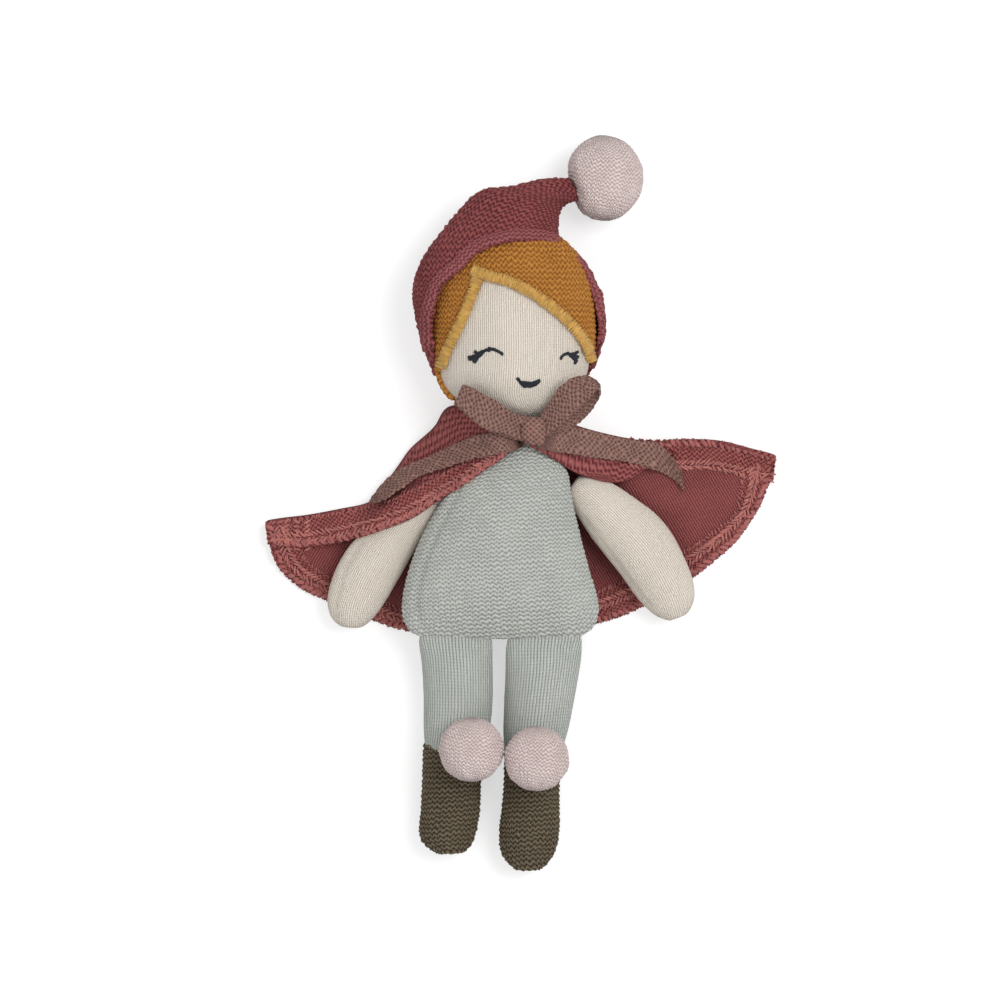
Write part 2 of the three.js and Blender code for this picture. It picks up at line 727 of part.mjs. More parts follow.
function bootPomCentre(side) {
  const along = side === "left" ? pomDropHeightLeft : pomDropHeightRight;
  const shift = side === "left" ? pomOffsetLeft : pomOffsetRight;
  const boot = boots[side].stations[0].centre;
  const reach = bootThickness / 2 + bootPomRadius - pomInsetDepth;
  return new THREE.Vector3(boot.x + shift, boot.y - along, bootMid + Math.sqrt(reach ** 2 - shift ** 2));
}

// Cape: a back panel that everything lies on, gathered into a collar, and two fronts that pass
// over the shoulders

const collarGrow = sewnGap + collarThickness;
const ribbonGrow = collarGrow + sewnGap + tapeThickness;
const collarReach = neckWidth / 2 + collarGrow;
const ribbonReach = neckWidth / 2 + ribbonGrow;
const ribbonRise = neckThickness / 2 + ribbonGrow;

function planDistance(form, x, y) {
  let least = Infinity;
  form.stations.forEach(({ centre, tangent, across, halfWidth }) => {
    const [dx, dy] = [x - centre.x, y - centre.y];
    const beside = Math.max(Math.abs(dx * across.x + dy * across.y) - halfWidth, 0);
    const past = Math.max(Math.abs(dx * tangent.x + dy * tangent.y) - sectionLength, 0);
    least = Math.min(least, Math.hypot(beside, past));
  });
  return least;
}

// How far the cape's underside lifts off the surface: fan folds beside the arms and a rise at the neck
function capeLift(x, y) {
  const clear = Math.min(...[torso, arms.left, arms.right].map((form) => planDistance(form, x, y)));
  const fan = Math.atan2(y, x) * foldCount;
  const spread = THREE.MathUtils.smoothstep(clear, flatMargin, flatMargin + foldLength);
  const fold = foldHeight * spread * (0.5 + 0.5 * Math.cos(fan));
  const fromNeck = Math.hypot(x - neckX, (y + tapeWidth / 2) * 1.6);
  const rise = 1 - THREE.MathUtils.smoothstep(fromNeck, collarReach, 2.4 * collarReach);
  return Math.max(fold, rise * (neckMid - ribbonRise - knitThickness));
}

const capeShares = {
  left: [
    [-0.097, 0.05], [-0.148, 0.024], [-0.187, -0.057], [-0.232, -0.175], [-0.268, -0.288], [-0.305, -0.368],
    [-0.352, -0.396], [-0.414, -0.425], [-0.496, -0.453],
  ],
  right: [[0.078, 0.033], [0.156, -0.014], [0.265, -0.075], [0.35, -0.066], [0.446, -0.108], [0.5, -0.146]],
  inner: [[-0.097, 0.05], [-0.058, -0.024], [0, -0.052], [0.049, -0.024], [0.078, 0.033]],
  outer: [
    [-0.496, -0.453], [-0.475, -0.67], [-0.377, -0.825], [-0.228, -0.958], [-0.039, -1], [0.144, -0.943],
    [0.233, -0.868], [0.335, -0.726], [0.42, -0.557], [0.477, -0.335], [0.5, -0.146],
  ],
};
const flapShares = {
  left: [[-0.1, 0.045], [-0.05, -0.02], [-0.016, -0.099]],
  right: [[-0.496, -0.453], [-0.495, -0.51], [-0.488, -0.571]],
  inner: [
    [-0.1, 0.045], [-0.144, 0.024], [-0.187, -0.057], [-0.232, -0.175], [-0.268, -0.288], [-0.305, -0.368],
    [-0.352, -0.396], [-0.414, -0.425], [-0.496, -0.453],
  ],
  outer: [
    [-0.016, -0.099], [-0.029, -0.151], [-0.097, -0.259], [-0.156, -0.354], [-0.21, -0.443], [-0.272, -0.5],
    [-0.34, -0.542], [-0.414, -0.58], [-0.488, -0.571],
  ],
};
const shoulderShares = {
  left: [[0.078, 0.02], [0.065, -0.05], [0.054, -0.127]],
  right: [[0.331, -0.066], [0.335, -0.18], [0.327, -0.288]],
  inner: [[0.078, 0.02], [0.126, -0.005], [0.195, -0.042], [0.265, -0.075], [0.331, -0.066]],
  outer: [[0.054, -0.127], [0.107, -0.222], [0.165, -0.269], [0.233, -0.3], [0.327, -0.288]],
};
const capePoints = (shares) => planPoints(shares, capeWidth, capeLength);
const capePatch = (shares) =>
  planPatch({
    left: capePoints(shares.left),
    right: capePoints(shares.right),
    inner: capePoints(shares.inner),
    outer: capePoints(shares.outer),
  });

// Height at which cloth lies over the body at a plan point
function drapeHeight(x, y) {
  const bodyTop = Math.max(
    torso.crest(x, y, clothFall),
    arms.left.crest(x, y, clothFall),
    arms.right.crest(x, y, clothFall),
  );
  const fromNeck = Math.hypot(x - neckX, (y + tapeWidth / 2) * 0.9);
  const collarTop = neckMid + ribbonRise - Math.max(fromNeck - ribbonReach / 2, 0) * clothFall;
  return Math.max(bodyTop + drapeGap, collarTop, capeLift(x, y) + knitThickness + sewnGap);
}

function clothOver(patch, columns, rows, above, thickness) {
  const place = (across, down) => {
    const { x, y } = patch(across, down);
    return new THREE.Vector3(x, y, drapeHeight(x, y) + above);
  };
  return clothSolid(columns, rows, place, thickness);
}

// A ribbon laid over the cape along a line of plan points
function ribbonPatch(points, width) {
  const curve = new THREE.SplineCurve(points);
  return (across, down) => {
    const tangent = curve.getTangent(across);
    const side = new THREE.Vector2(-tangent.y, tangent.x);
    return curve.getPoint(across).addScaledVector(side, (down - 0.5) * width);
  };
}

function collarRing(inside, outside, low, high) {
  return neckColumn(outside, low, high).subtract(neckColumn(inside, low - overrunLength, high + overrunLength));
}

// Bow

// A loop of ribbon seen from above: a flat band that runs out, turns back and is open at its sides
function bowLoop(start, end, thickness) {
  const along = new THREE.Vector3().subVectors(end, start);
  const length = along.length();
  const round = thickness / 2;
  const outline = (inset) => {
    const shape = new THREE.Shape();
    const radius = round - inset;
    shape.moveTo(inset * 1.5, -tapeThickness - sewnGap + inset * 0.7);
    shape.lineTo(length - round, -radius);
    shape.absarc(length - round, 0, radius, -Math.PI / 2, Math.PI / 2, false);
    shape.lineTo(inset * 1.5, tapeThickness + sewnGap - inset * 0.7);
    shape.closePath();
    return shape;
  };
  const band = outline(0);
  band.holes.push(new THREE.Path(outline(tapeThickness).getPoints(6).reverse()));
  const geometry = new THREE.ExtrudeGeometry(band, { depth: tapeWidth, bevelEnabled: false, curveSegments: 6 });
  geometry.translate(0, 0, -tapeWidth / 2);
  const x = along.clone().normalize();
  const z = new THREE.Vector3().crossVectors(x, up).normalize();
  const y = new THREE.Vector3().crossVectors(z, x);
  geometry.applyMatrix4(new THREE.Matrix4().makeBasis(x, y, z));
  geometry.translate(start.x, start.y, start.z);
  return solidOf(geometry);
}

const ribbonFront = neckMid + ribbonRise;
const knotCentre = new THREE.Vector3(
  neckX + knotWidth * 0.39,
  -tapeWidth * 0.243,
  ribbonFront + sewnGap + knotThickness / 2,
);
const knotForm = paddedForm({
  line: [0.5, 0.42, 0.25, 0, -0.25, -0.42, -0.5].map(
    (share) => new THREE.Vector3(knotCentre.x, knotCentre.y + share * knotHeight, knotCentre.z),
  ),
  widths: [0.35, 0.75, 0.97, 1, 0.97, 0.75, 0.35].map((share) => share * knotWidth),
  thicknesses: [0.35, 0.75, 0.97, 1, 0.97, 0.75, 0.35].map((share) => share * knotThickness),
  rings: 6,
  sides: 10,
  squareness: 2.6,
  facing: towardsFeet,
});

function loopEnds(side) {
  const sign = side === "left" ? -1 : 1;
  const turn = side === "left" ? loopTurnLeft : loopTurnRight;
  const length = side === "left" ? loopLengthLeft : loopLengthRight;
  const direction = new THREE.Vector3(sign * Math.cos(turn), Math.sin(turn), 0);
  const start = knotCentre.clone().addScaledVector(direction, loopStartShare * knotWidth);
  start.addScaledVector(up, tapeThickness + sewnGap);
  const end = start.clone().addScaledVector(direction, length).addScaledVector(up, loopHeight);
  return [start, end];
}

const tailShares = {
  left: [
    [-0.002, -0.094], [-0.074, -0.075], [-0.126, -0.123], [-0.185, -0.179], [-0.232, -0.236], [-0.268, -0.302],
    [-0.284, -0.354],
  ],
  right: [[0.045, -0.085], [0.099, -0.084], [0.156, -0.104], [0.233, -0.127], [0.276, -0.17], [0.315, -0.259]],
};

// Colours and finishes

const cloth = (color, roughness) => ({ color, roughness, metalness: 0 });
const finishes = {
  skin: cloth("#ded6c8", 0.9),
  filling: cloth("#f1eee6", 1),
  hair: cloth("#b67a3a", 0.95),
  satin: cloth("#c39b4d", 0.6),
  thread: cloth("#1d242c", 0.7),
  hat: cloth("#a0525a", 0.95),
  dress: cloth("#a9b1ab", 0.95),
  stocking: cloth("#b6c0bb", 0.95),
  boot: cloth("#5c5142", 0.95),
  ball: cloth("#d8c9c6", 1),
  ribbon: cloth("#8c675f", 0.9),
};

const doll = new THREE.Group();

function piece(name, finish, solid) {
  const mesh = new THREE.Mesh(geometryOf(solid), new THREE.MeshStandardMaterial(finishes[finish]));
  mesh.name = name;
  doll.add(mesh);
}

// Everything that could lie on the surface is cut off level with it.
const farReach = capeWidth;
const belowSurface = block(
  new THREE.Vector3(-farReach, -2 * farReach, -farReach),
  new THREE.Vector3(farReach, farReach, 0),
);

// A padded piece as a cloth cover with an opening and a filling inside it
function coverAndFilling(form, thickness, opening) {
  const cover = cut(form.solid(0), form.solid(-thickness), opening, belowSurface);
  return [cover, cut(form.solid(-thickness - sewnGap), belowSurface)];
}

// Torso pieces
{
  const sockets = [shoulderBar("left", sewnGap), shoulderBar("right", sewnGap)];
  const neckHole = neckColumn(-jerseyThickness, torsoTop - 2 * jerseyThickness, torsoTop + overrunLength);
  const shell = cut(torso.solid(0), torso.solid(-knitThickness), neckHole, ...sockets);
  const seamLevel = torsoMid - sidePanelOffset;
  const [left, top, right, bottom] = [-torsoWidth, overrunLength, torsoWidth, torsoBottom - overrunLength];
  const frontHalf = block(
    new THREE.Vector3(left, bottom, seamLevel + sewnGap / 2),
    new THREE.Vector3(right, top, torsoThickness * 2),
  );
  const backHalf = block(
    new THREE.Vector3(left, bottom, -overrunLength),
    new THREE.Vector3(right, top, seamLevel - sewnGap / 2),
  );
  piece("dress_front", "dress", largest(shell.intersect(frontHalf)));
  piece("dress_back", "dress", largest(shell.intersect(backHalf)));
  const deeper = ["left", "right"].map((side) => shoulderBar(side, knitThickness + 2 * sewnGap));
  piece("torso_filling", "filling", cut(torso.solid(-knitThickness - sewnGap), ...deeper));
  const neckLow = torsoTop - torsoLength * 0.06;
  piece("neck", "skin", cut(neckColumn(0, neckLow, neckTop), torso.solid(sewnGap)));
}

// Head pieces
{
  const neckHole = bar(
    new THREE.Vector3(headOffset, chinHeight - overrunLength, headMid),
    new THREE.Vector3(headOffset, chinHeight + 2 * jerseyThickness, headMid),
    neckHoleRadius,
  );
  const [skin, filling] = coverAndFilling(head, jerseyThickness, neckHole);
  piece("head_skin", "skin", skin);
  piece("head_filling", "filling", filling);

  const hatBodyRoom = cut(hatRoom(sewnGap), openingPrism(brimWidth - sewnGap));
  const underHat = (solid) => cut(solid, hatBodyRoom, brimSolid(sewnGap));
  const satinRoom = (side) =>
    prism(strokeOutline(facePoints(hairlineShares[side]), satinWidth + 2 * sewnGap), 0, 2 * hatThickness);
  for (const side of ["left", "right"]) {
    const stitched = strokeOutline(facePoints(hairlineShares[side]), satinWidth);
    const satin = underHat(onFace([stitched], sewnGap, satinThickness));
    piece(`hairline_${side}`, "satin", side === "left" ? satin : cut(satin, satinRoom("left")));
    const hair = onFace([facePoints(hairShares[side])], sewnGap, hairThickness);
    piece(`hair_${side}`, "hair", largest(cut(underHat(hair), satinRoom("left"), satinRoom("right"))));
    const strokes = eyeShares[side].map((shares) => strokeOutline(facePoints(shares), threadWidth));
    piece(`eye_${side}`, "thread", onFace(strokes, sewnGap, threadThickness));
  }
  const smile = mouthShares.map((shares) => strokeOutline(facePoints(shares), threadWidth));
  piece("mouth", "thread", onFace(smile, sewnGap, threadThickness));

  const nape = block(
    new THREE.Vector3(-headWidth, chinHeight + headHeight * 0.07, 0),
    new THREE.Vector3(headWidth, chinHeight + headHeight * 0.5, headMid - sewnGap),
  );
  const backLayer = layerOn(head, sewnGap, sewnGap + hairThickness).intersect(nape);
  piece("hair_back", "hair", largest(cut(backLayer, hatRoom(sewnGap))));
}

// Hat pieces
{
  const tipHole = ball(tipPivot, hatTipRadius + 2 * sewnGap, 16, 10);
  const tipRoom = tipTurns.map((angle) => turned(hatTip.solid(sewnGap), tipPivot, angle));
  const clearOfHead = head.solid(sewnGap);
  const wideOpening = openingPrism(brimWidth + sewnGap);
  piece(
    "hat_body",
    "hat",
    largest(cut(hatRoom(0), wideOpening, belowHat, tipHole, ...tipRoom, clearOfHead, belowSurface)),
  );
  piece("hat_brim", "hat", largest(cut(brimSolid(0), belowHat, clearOfHead)));
  const tipSide = tipPivot.clone().add(new THREE.Vector3(-hatTipRadius, 0, 0));
  const tipOpening = ball(tipSide, hatTipRadius / 2, 12, 8);
  piece("hat_tip", "hat", cut(hatTip.solid(0), hatTip.solid(-knitThickness), tipOpening));

  const socket = ball(pomPivot, pomSocketShare * hatTipRadius + 2 * sewnGap);
  const inward = new THREE.Vector3().subVectors(pomPivot, pomCentre).normalize();
  const opening = bar(pomCentre.clone().addScaledVector(inward, hatPomRadius / 2), pomPivot, pomHoleRadius);
  const hollow = ball(pomCentre, hatPomRadius - jerseyThickness);
  const stuffed = ball(pomCentre, hatPomRadius - jerseyThickness - sewnGap);
  piece(
    "hat_ball_cover",
    "ball",
    cut(ball(pomCentre, hatPomRadius), hollow, socket, opening, belowSurface),
  );
  const deeper = ball(pomPivot, pomSocketShare * hatTipRadius + jerseyThickness + 3 * sewnGap);
  piece("hat_ball_filling", "filling", cut(stuffed, deeper, belowSurface));
}

// Arm, leg, boot and ball pieces
for (const side of ["left", "right"]) {
  piece(`arm_${side}_skin`, "skin", cut(armSolid(side, 0), armSolid(side, -jerseyThickness), armOpening(side)));
  piece(`arm_${side}_filling`, "filling", armSolid(side, -jerseyThickness - sewnGap));

  const [leg, boot] = [legs[side], boots[side]];
  const through = ankleBar(side, 0);
  const ballCentre = bootPomCentre(side);
  const ballRoom = ball(ballCentre, bootPomRadius);
  piece(`leg_${side}`, "stocking", cut(leg.solid(0), leg.solid(-jerseyThickness), through, belowSurface));
  piece(`boot_${side}`, "boot", cut(boot.solid(0), boot.solid(-knitThickness), through, belowSurface));
  const filling = joined(
    leg.solid(-jerseyThickness - sewnGap),
    boot.solid(-knitThickness - sewnGap),
    ankleBar(side, -sewnGap)
  );
  piece(`leg_${side}_filling`, "filling", cut(filling, belowSurface));

  const sewnTo = [leg.solid(sewnGap), boot.solid(sewnGap)];
  const towardsBoot = ballCentre.clone().setZ(bootMid);
  const opening = bar(ballCentre, towardsBoot, pomHoleRadius);
  const inner = ball(ballCentre, bootPomRadius - jerseyThickness);
  piece(`boot_ball_${side}_cover`, "ball", largest(cut(ballRoom, ...sewnTo, inner, opening)));
  const deeper = [leg.solid(jerseyThickness + 2 * sewnGap), boot.solid(jerseyThickness + 2 * sewnGap)];
  const stuffed = ball(ballCentre, bootPomRadius - jerseyThickness - sewnGap);
  piece(`boot_ball_${side}_filling`, "filling", cut(stuffed, ...deeper));
}

// Cape and ribbon pieces
{
  const low = torsoTop + sewnGap;
  const high = neckTop;
  const bandLow = high - tapeWidth;
  const collar = collarRing(sewnGap, collarGrow, low, high);
  const flange = collarRing(sewnGap, ribbonGrow + sewnGap + knitThickness, low, bandLow - sewnGap);
  const ribbonRoom = neckColumn(ribbonGrow + sewnGap, bandLow - sewnGap, high + overrunLength);
  const body = [torso, arms.left, arms.right].map((form) => form.solid(sewnGap));
  const headRoom = head.solid(2 * sewnGap);
  const capeBack = capePatch(capeShares);
  const backPlace = (across, down) => {
    const { x, y } = capeBack(across, down);
    return new THREE.Vector3(x, y, capeLift(x, y));
  };
  const neckRoom = neckColumn(sewnGap, low - overrunLength, high);
  const panel = cut(clothSolid(26, 8, backPlace, knitThickness), ribbonRoom, neckRoom);
  piece("cape_back", "hat", largest(cut(joined(panel, collar, flange), ...body, headRoom)));

  const flangeRoom = neckColumn(ribbonGrow + 2 * sewnGap + knitThickness, low - sewnGap, high);
  const over = [...body, headRoom, ribbonRoom, flangeRoom];
  const armPath = planWall(arms.right, 1.5 * sewnGap, armPathStart);
  const underFront = moved(panel, 0, 0, sewnGap);
  const pastArm = [armPath, underFront, ...armLifts.map((angle) => liftedArm("right", angle))];
  const fronts = {
    left: largest(cut(clothOver(capePatch(flapShares), 18, 7, 0, knitThickness), ...over)),
    right: largest(cut(clothOver(capePatch(shoulderShares), 12, 6, 0, knitThickness), ...over, ...pastArm)),
  };
  piece("cape_front_left", "hat", fronts.left);
  piece("cape_front_right", "hat", fronts.right);

  piece("neck_ribbon", "ribbon", collarRing(collarGrow + sewnGap, ribbonGrow, bandLow, high));
  const knot = knotForm.solid(0);
  piece("bow_knot", "ribbon", knot);
  const knotRoom = knotForm.solid(sewnGap);
  for (const side of ["left", "right"]) {
    const loop = cut(bowLoop(...loopEnds(side), loopThickness), knotRoom, ribbonRoom);
    piece(`bow_loop_${side}`, "ribbon", largest(loop));
    const width = side === "left" ? tailWidthLeft : tailWidthRight;
    const patch = ribbonPatch(capePoints(tailShares[side]), width);
    const tail = clothOver(patch, 14, 2, knitThickness + 3 * sewnGap, tapeThickness);
    const front = fronts[side];
    const underTail = moved(front, 0, 0, sewnGap);
    piece(`ribbon_tail_${side}`, "ribbon", largest(cut(tail, knotRoom, ribbonRoom, underTail, front)));
  }
}

// The origin goes to the middle of the surface that the doll lies on.
const extent = new THREE.Box3().setFromObject(doll);
const middle = extent.getCenter(new THREE.Vector3());
doll.position.set(-middle.x, -middle.y, -extent.min.z);

export default doll;
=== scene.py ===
# Knitted plush elf doll on its spread cape, seen from straight above.
import math
import random

import bmesh
import bpy
from mathutils import Matrix, Vector, noise
from mathutils.bvhtree import BVHTree


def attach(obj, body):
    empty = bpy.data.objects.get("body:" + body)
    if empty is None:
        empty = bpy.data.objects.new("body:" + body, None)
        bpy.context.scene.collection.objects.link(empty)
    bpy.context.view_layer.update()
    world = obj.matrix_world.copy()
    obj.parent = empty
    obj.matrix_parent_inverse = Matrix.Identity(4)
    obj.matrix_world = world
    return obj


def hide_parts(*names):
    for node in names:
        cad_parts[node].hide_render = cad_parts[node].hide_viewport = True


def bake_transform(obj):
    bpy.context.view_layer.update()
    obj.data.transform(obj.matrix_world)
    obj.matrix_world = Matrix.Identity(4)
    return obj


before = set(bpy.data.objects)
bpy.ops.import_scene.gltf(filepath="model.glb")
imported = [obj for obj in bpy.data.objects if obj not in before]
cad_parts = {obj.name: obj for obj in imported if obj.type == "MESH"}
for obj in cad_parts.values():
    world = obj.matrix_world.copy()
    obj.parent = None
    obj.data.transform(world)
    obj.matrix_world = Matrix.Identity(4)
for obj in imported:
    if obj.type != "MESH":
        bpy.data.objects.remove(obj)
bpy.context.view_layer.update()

scene = bpy.context.scene
mm = 0.001
up = Vector((0, 0, 1))

# ---- camera, light and floor

view = {"scale": 0.0003, "middleX": 521.03, "middleY": 504.49, "height": 2.0, "lens": 240}


def plan(px, py, z=0.0):  # a place in the photograph, with its height in millimetres
    return Vector(((px - view["middleX"]) * view["scale"], (view["middleY"] - py) * view["scale"], z * mm))


cameraData = bpy.data.cameras.new("camera")
cameraData.lens = view["lens"]
cameraData.sensor_width = 36
camera = bpy.data.objects.new("camera", cameraData)
camera.location = plan(500, 500, 18) + up * view["height"]
cameraData.clip_end = 10
scene.collection.objects.link(camera)
scene.camera = camera

scene.view_settings.view_transform = "Standard"

studio = {"world": 0.62, "table": 0.55, "glow": 0.55}
lamps = {
    "key": {"place": (0.5, 0.25, 1.05), "size": 0.6, "power": 7.2},
    "fill": {"place": (-0.35, -0.35, 1.0), "size": 0.9, "power": 2.2},
}
for name, lamp in lamps.items():
    lampData = bpy.data.lights.new(name, "AREA")
    lampData.size = lamp["size"]
    lampData.energy = lamp["power"]
    lampObject = bpy.data.objects.new(name, lampData)
    lampObject.location = lamp["place"]
    lampObject.rotation_euler = (-Vector(lamp["place"])).to_track_quat("-Z", "Y").to_euler()
    scene.collection.objects.link(lampObject)

world = bpy.data.worlds.new("studio")
scene.world = world
world.use_nodes = True
world.node_tree.nodes["Background"].inputs["Color"].default_value = (1, 1, 1, 1)
world.node_tree.nodes["Background"].inputs["Strength"].default_value = studio["world"]


def shade(code):  # a colour as written on screens, as the shader wants it
    parts = [int(code[k:k + 2], 16) / 255 for k in (1, 3, 5)]
    return tuple(c / 12.92 if c <= 0.04045 else ((c + 0.055) / 1.055) ** 2.4 for c in parts) + (1,)


def fillNode(tree, node, values):  # a socket gets a link, anything else is set
    for label, value in values.items():
        if isinstance(value, bpy.types.NodeSocket):
            tree.links.new(value, node.inputs[label])
        else:
            node.inputs[label].default_value = value
    return node


def addNode(tree, kind, values):
    return fillNode(tree, tree.nodes.new("ShaderNode" + kind), values)


def calc(tree, operation, *values):
    node = tree.nodes.new("ShaderNodeMath")
    node.operation = operation
    return fillNode(tree, node, dict(enumerate(values))).outputs[0]


def newMaterial(name, values):
    material = bpy.data.materials.new(name)
    material.use_nodes = True
    tree = material.node_tree
    return material, tree, fillNode(tree, tree.nodes["Principled BSDF"], values)


def makeFloor():
    shape = bmesh.new()
    bmesh.ops.create_grid(shape, x_segments=1, y_segments=1, size=6)
    mesh = bpy.data.meshes.new("floor")
    shape.to_mesh(mesh)
    shape.free()
    floor = bpy.data.objects.new("floor", mesh)
    floor.data.transform(Matrix.Translation((0, 0, -0.0002)))
    scene.collection.objects.link(floor)
    material, tree, table = newMaterial("whiteTable", {
        "Base Color": (*[studio["table"]] * 3, 1), "Roughness": 0.9, "Specular IOR Level": 0.1})
    path = tree.nodes.new("ShaderNodeLightPath")
    seen = calc(tree, "MAXIMUM", path.outputs["Is Camera Ray"], path.outputs["Is Glossy Ray"])
    glow = addNode(tree, "Emission", {"Strength": calc(tree, "MULTIPLY", seen, studio["glow"])})
    both = addNode(tree, "AddShader", {0: table.outputs[0], 1: glow.outputs[0]})
    fillNode(tree, tree.nodes["Material Output"], {"Surface": both.outputs[0]})
    mesh.materials.append(material)


makeFloor()
print("camera, light and floor are set")

# ---- knit, fibre and thread effects, shared by the cloths


def newGroup(name, inputs, outputs):
    tree = bpy.data.node_groups.new(name, "ShaderNodeTree")
    for label, kind, value in inputs:
        socket = tree.interface.new_socket(label, in_out="INPUT", socket_type="NodeSocket" + kind)
        if value is not None:
            socket.default_value = value
    for label in outputs:
        tree.interface.new_socket(label, in_out="OUTPUT", socket_type="NodeSocketFloat")
    return tree, tree.nodes.new("NodeGroupInput"), tree.nodes.new("NodeGroupOutput")


def drift(tree, place, scale, amount):  # an uneven value round nought
    cloud = addNode(tree, "TexNoise", {"Scale": scale, "Detail": 2, "Vector": place})
    return calc(tree, "MULTIPLY", calc(tree, "SUBTRACT", cloud.outputs["Fac"], 0.5), amount)


def stitchGrid(tree, given, sizes, scales):  # stitches across and rows down, both wandering a little
    place, loose = given.outputs["Place"], given.outputs["Looseness"]
    split = tree.nodes.new("ShaderNodeSeparateXYZ")
    tree.links.new(place, split.inputs[0])
    return [calc(tree, "ADD", calc(tree, "DIVIDE", split.outputs[k], given.outputs[sizes[k]]),
                 calc(tree, "MULTIPLY", drift(tree, place, scales[k], 1.0), loose)) for k in (0, 1)]


def swell(tree, value, turns=1):  # from nought to one and back on every turn
    wave = calc(tree, "COSINE", calc(tree, "MULTIPLY", value, turns * math.tau))
    return calc(tree, "MULTIPLY_ADD", wave, 0.5, 0.5)


def giveOut(tree, made, height, pits):
    fillNode(tree, made, {"Height": height, "Pits": pits})
    return tree


def makeWavyRows():  # purl rows that wander up and down, with pits where the loops part, which the cloth colour darkens as painted shade
    tree, given, made = newGroup("wavyRows", [
        ("Place", "Vector", None), ("Stitch", "Float", 0.0018), ("Row", "Float", 0.0018),
        ("Wave", "Float", 0.22), ("Looseness", "Float", 0.5)], ["Height", "Pits"])
    across, down = stitchGrid(tree, given, ("Stitch", "Row"), (220, 330))
    swing = calc(tree, "SINE", calc(tree, "MULTIPLY", across, math.tau))
    ridge = swell(tree, calc(tree, "ADD", down, calc(tree, "MULTIPLY", swing, given.outputs["Wave"])))
    beads = swell(tree, across, 2)
    height = calc(tree, "MULTIPLY", ridge, calc(tree, "MULTIPLY_ADD", beads, 0.34, 0.66))
    hollow = calc(tree, "POWER", calc(tree, "SUBTRACT", 1.0, ridge), 2.0)
    return giveOut(tree, made, height, calc(tree, "MULTIPLY", hollow, calc(tree, "SUBTRACT", 1.15, beads)))


def makeColumns():  # smooth knitting: columns of little Vs
    tree, given, made = newGroup("knitColumns", [
        ("Place", "Vector", None), ("Column", "Float", 0.001), ("Row", "Float", 0.0009),
        ("Looseness", "Float", 0.3)], ["Height", "Pits"])
    across, down = stitchGrid(tree, given, ("Column", "Row"), (180, 420))
    off = calc(tree, "ABSOLUTE", calc(tree, "SUBTRACT", calc(tree, "FRACT", across), 0.5))
    lean = calc(tree, "ADD", down, calc(tree, "MULTIPLY", off, 1.3))
    strand = calc(tree, "ABSOLUTE", calc(tree, "SINE", calc(tree, "MULTIPLY", lean, math.pi)))
    leg = calc(tree, "ABSOLUTE", calc(tree, "SINE", calc(tree, "MULTIPLY", across, math.pi)))
    strand = calc(tree, "MULTIPLY_ADD", strand, 0.45, 0.55)
    height = calc(tree, "MULTIPLY", calc(tree, "POWER", leg, 0.7), strand)
    return giveOut(tree, made, height, calc(tree, "POWER", calc(tree, "SUBTRACT", 1.0, height), 2.0))


def makeTapeWeave():  # narrow knitted tape: two leaning ribs that meet in rows of small holes
    tree, given, made = newGroup("tapeWeave", [
        ("Place", "Vector", None), ("Rib", "Float", 0.0013), ("Row", "Float", 0.0011)], ["Height", "Pits"])
    split = tree.nodes.new("ShaderNodeSeparateXYZ")
    tree.links.new(given.outputs["Place"], split.inputs[0])
    across = calc(tree, "DIVIDE", split.outputs[0], given.outputs["Rib"])
    down = calc(tree, "DIVIDE", split.outputs[1], given.outputs["Row"])
    down = calc(tree, "ADD", down, drift(tree, given.outputs["Place"], 420, 1.5))
    across = calc(tree, "ADD", across, drift(tree, given.outputs["Place"], 510, 1.2))
    mesh = calc(tree, "MULTIPLY", calc(tree, "COSINE", calc(tree, "MULTIPLY", across, math.pi)),
                calc(tree, "COSINE", calc(tree, "MULTIPLY", down, math.pi)))
    slant = calc(tree, "SINE", calc(tree, "MULTIPLY", calc(tree, "ADD", across, down), math.pi))
    height = calc(tree, "MULTIPLY_ADD", mesh, 0.35, calc(tree, "MULTIPLY_ADD", slant, 0.15, 0.5))
    holes = calc(tree, "MAXIMUM", calc(tree, "MULTIPLY", mesh, -1.0), 0.0)
    return giveOut(tree, made, height, calc(tree, "POWER", holes, 2.5))


def makeFibre():  # the fine loose hairs of the yarn, and its uneven dye
    tree, given, made = newGroup("yarnFibre", [
        ("Place", "Vector", None), ("Fine", "Float", 3200.0), ("Blotch", "Float", 60.0)], ["Hairs", "Dye"])
    place = given.outputs["Place"]
    hairs = addNode(tree, "TexNoise", {
        "Detail": 4, "Distortion": 1.2, "Vector": place, "Scale": given.outputs["Fine"]})
    dye = addNode(tree, "TexNoise", {"Detail": 5, "Vector": place, "Scale": given.outputs["Blotch"]})
    fillNode(tree, made, {"Hairs": hairs.outputs["Fac"], "Dye": dye.outputs["Fac"]})
    return tree


effects = {"wavyRows": makeWavyRows(), "knitColumns": makeColumns(), "tapeWeave": makeTapeWeave(),
           "yarnFibre": makeFibre()}

knitSizes = {
    "wavyRows": ("Stitch", "Row", "Wave", "Looseness"), "knitColumns": ("Column", "Row", "Looseness"),
    "tapeWeave": ("Rib", "Row"),
}


def knitted(knit, sizes, light, base, dark, depth, turn=0, sheen=0.2):
    return {"knit": knit, "sizes": dict(zip(knitSizes[knit], sizes)), "turn": turn, "sheen": sheen,
            "light": light, "base": base, "dark": dark, "depth": depth}
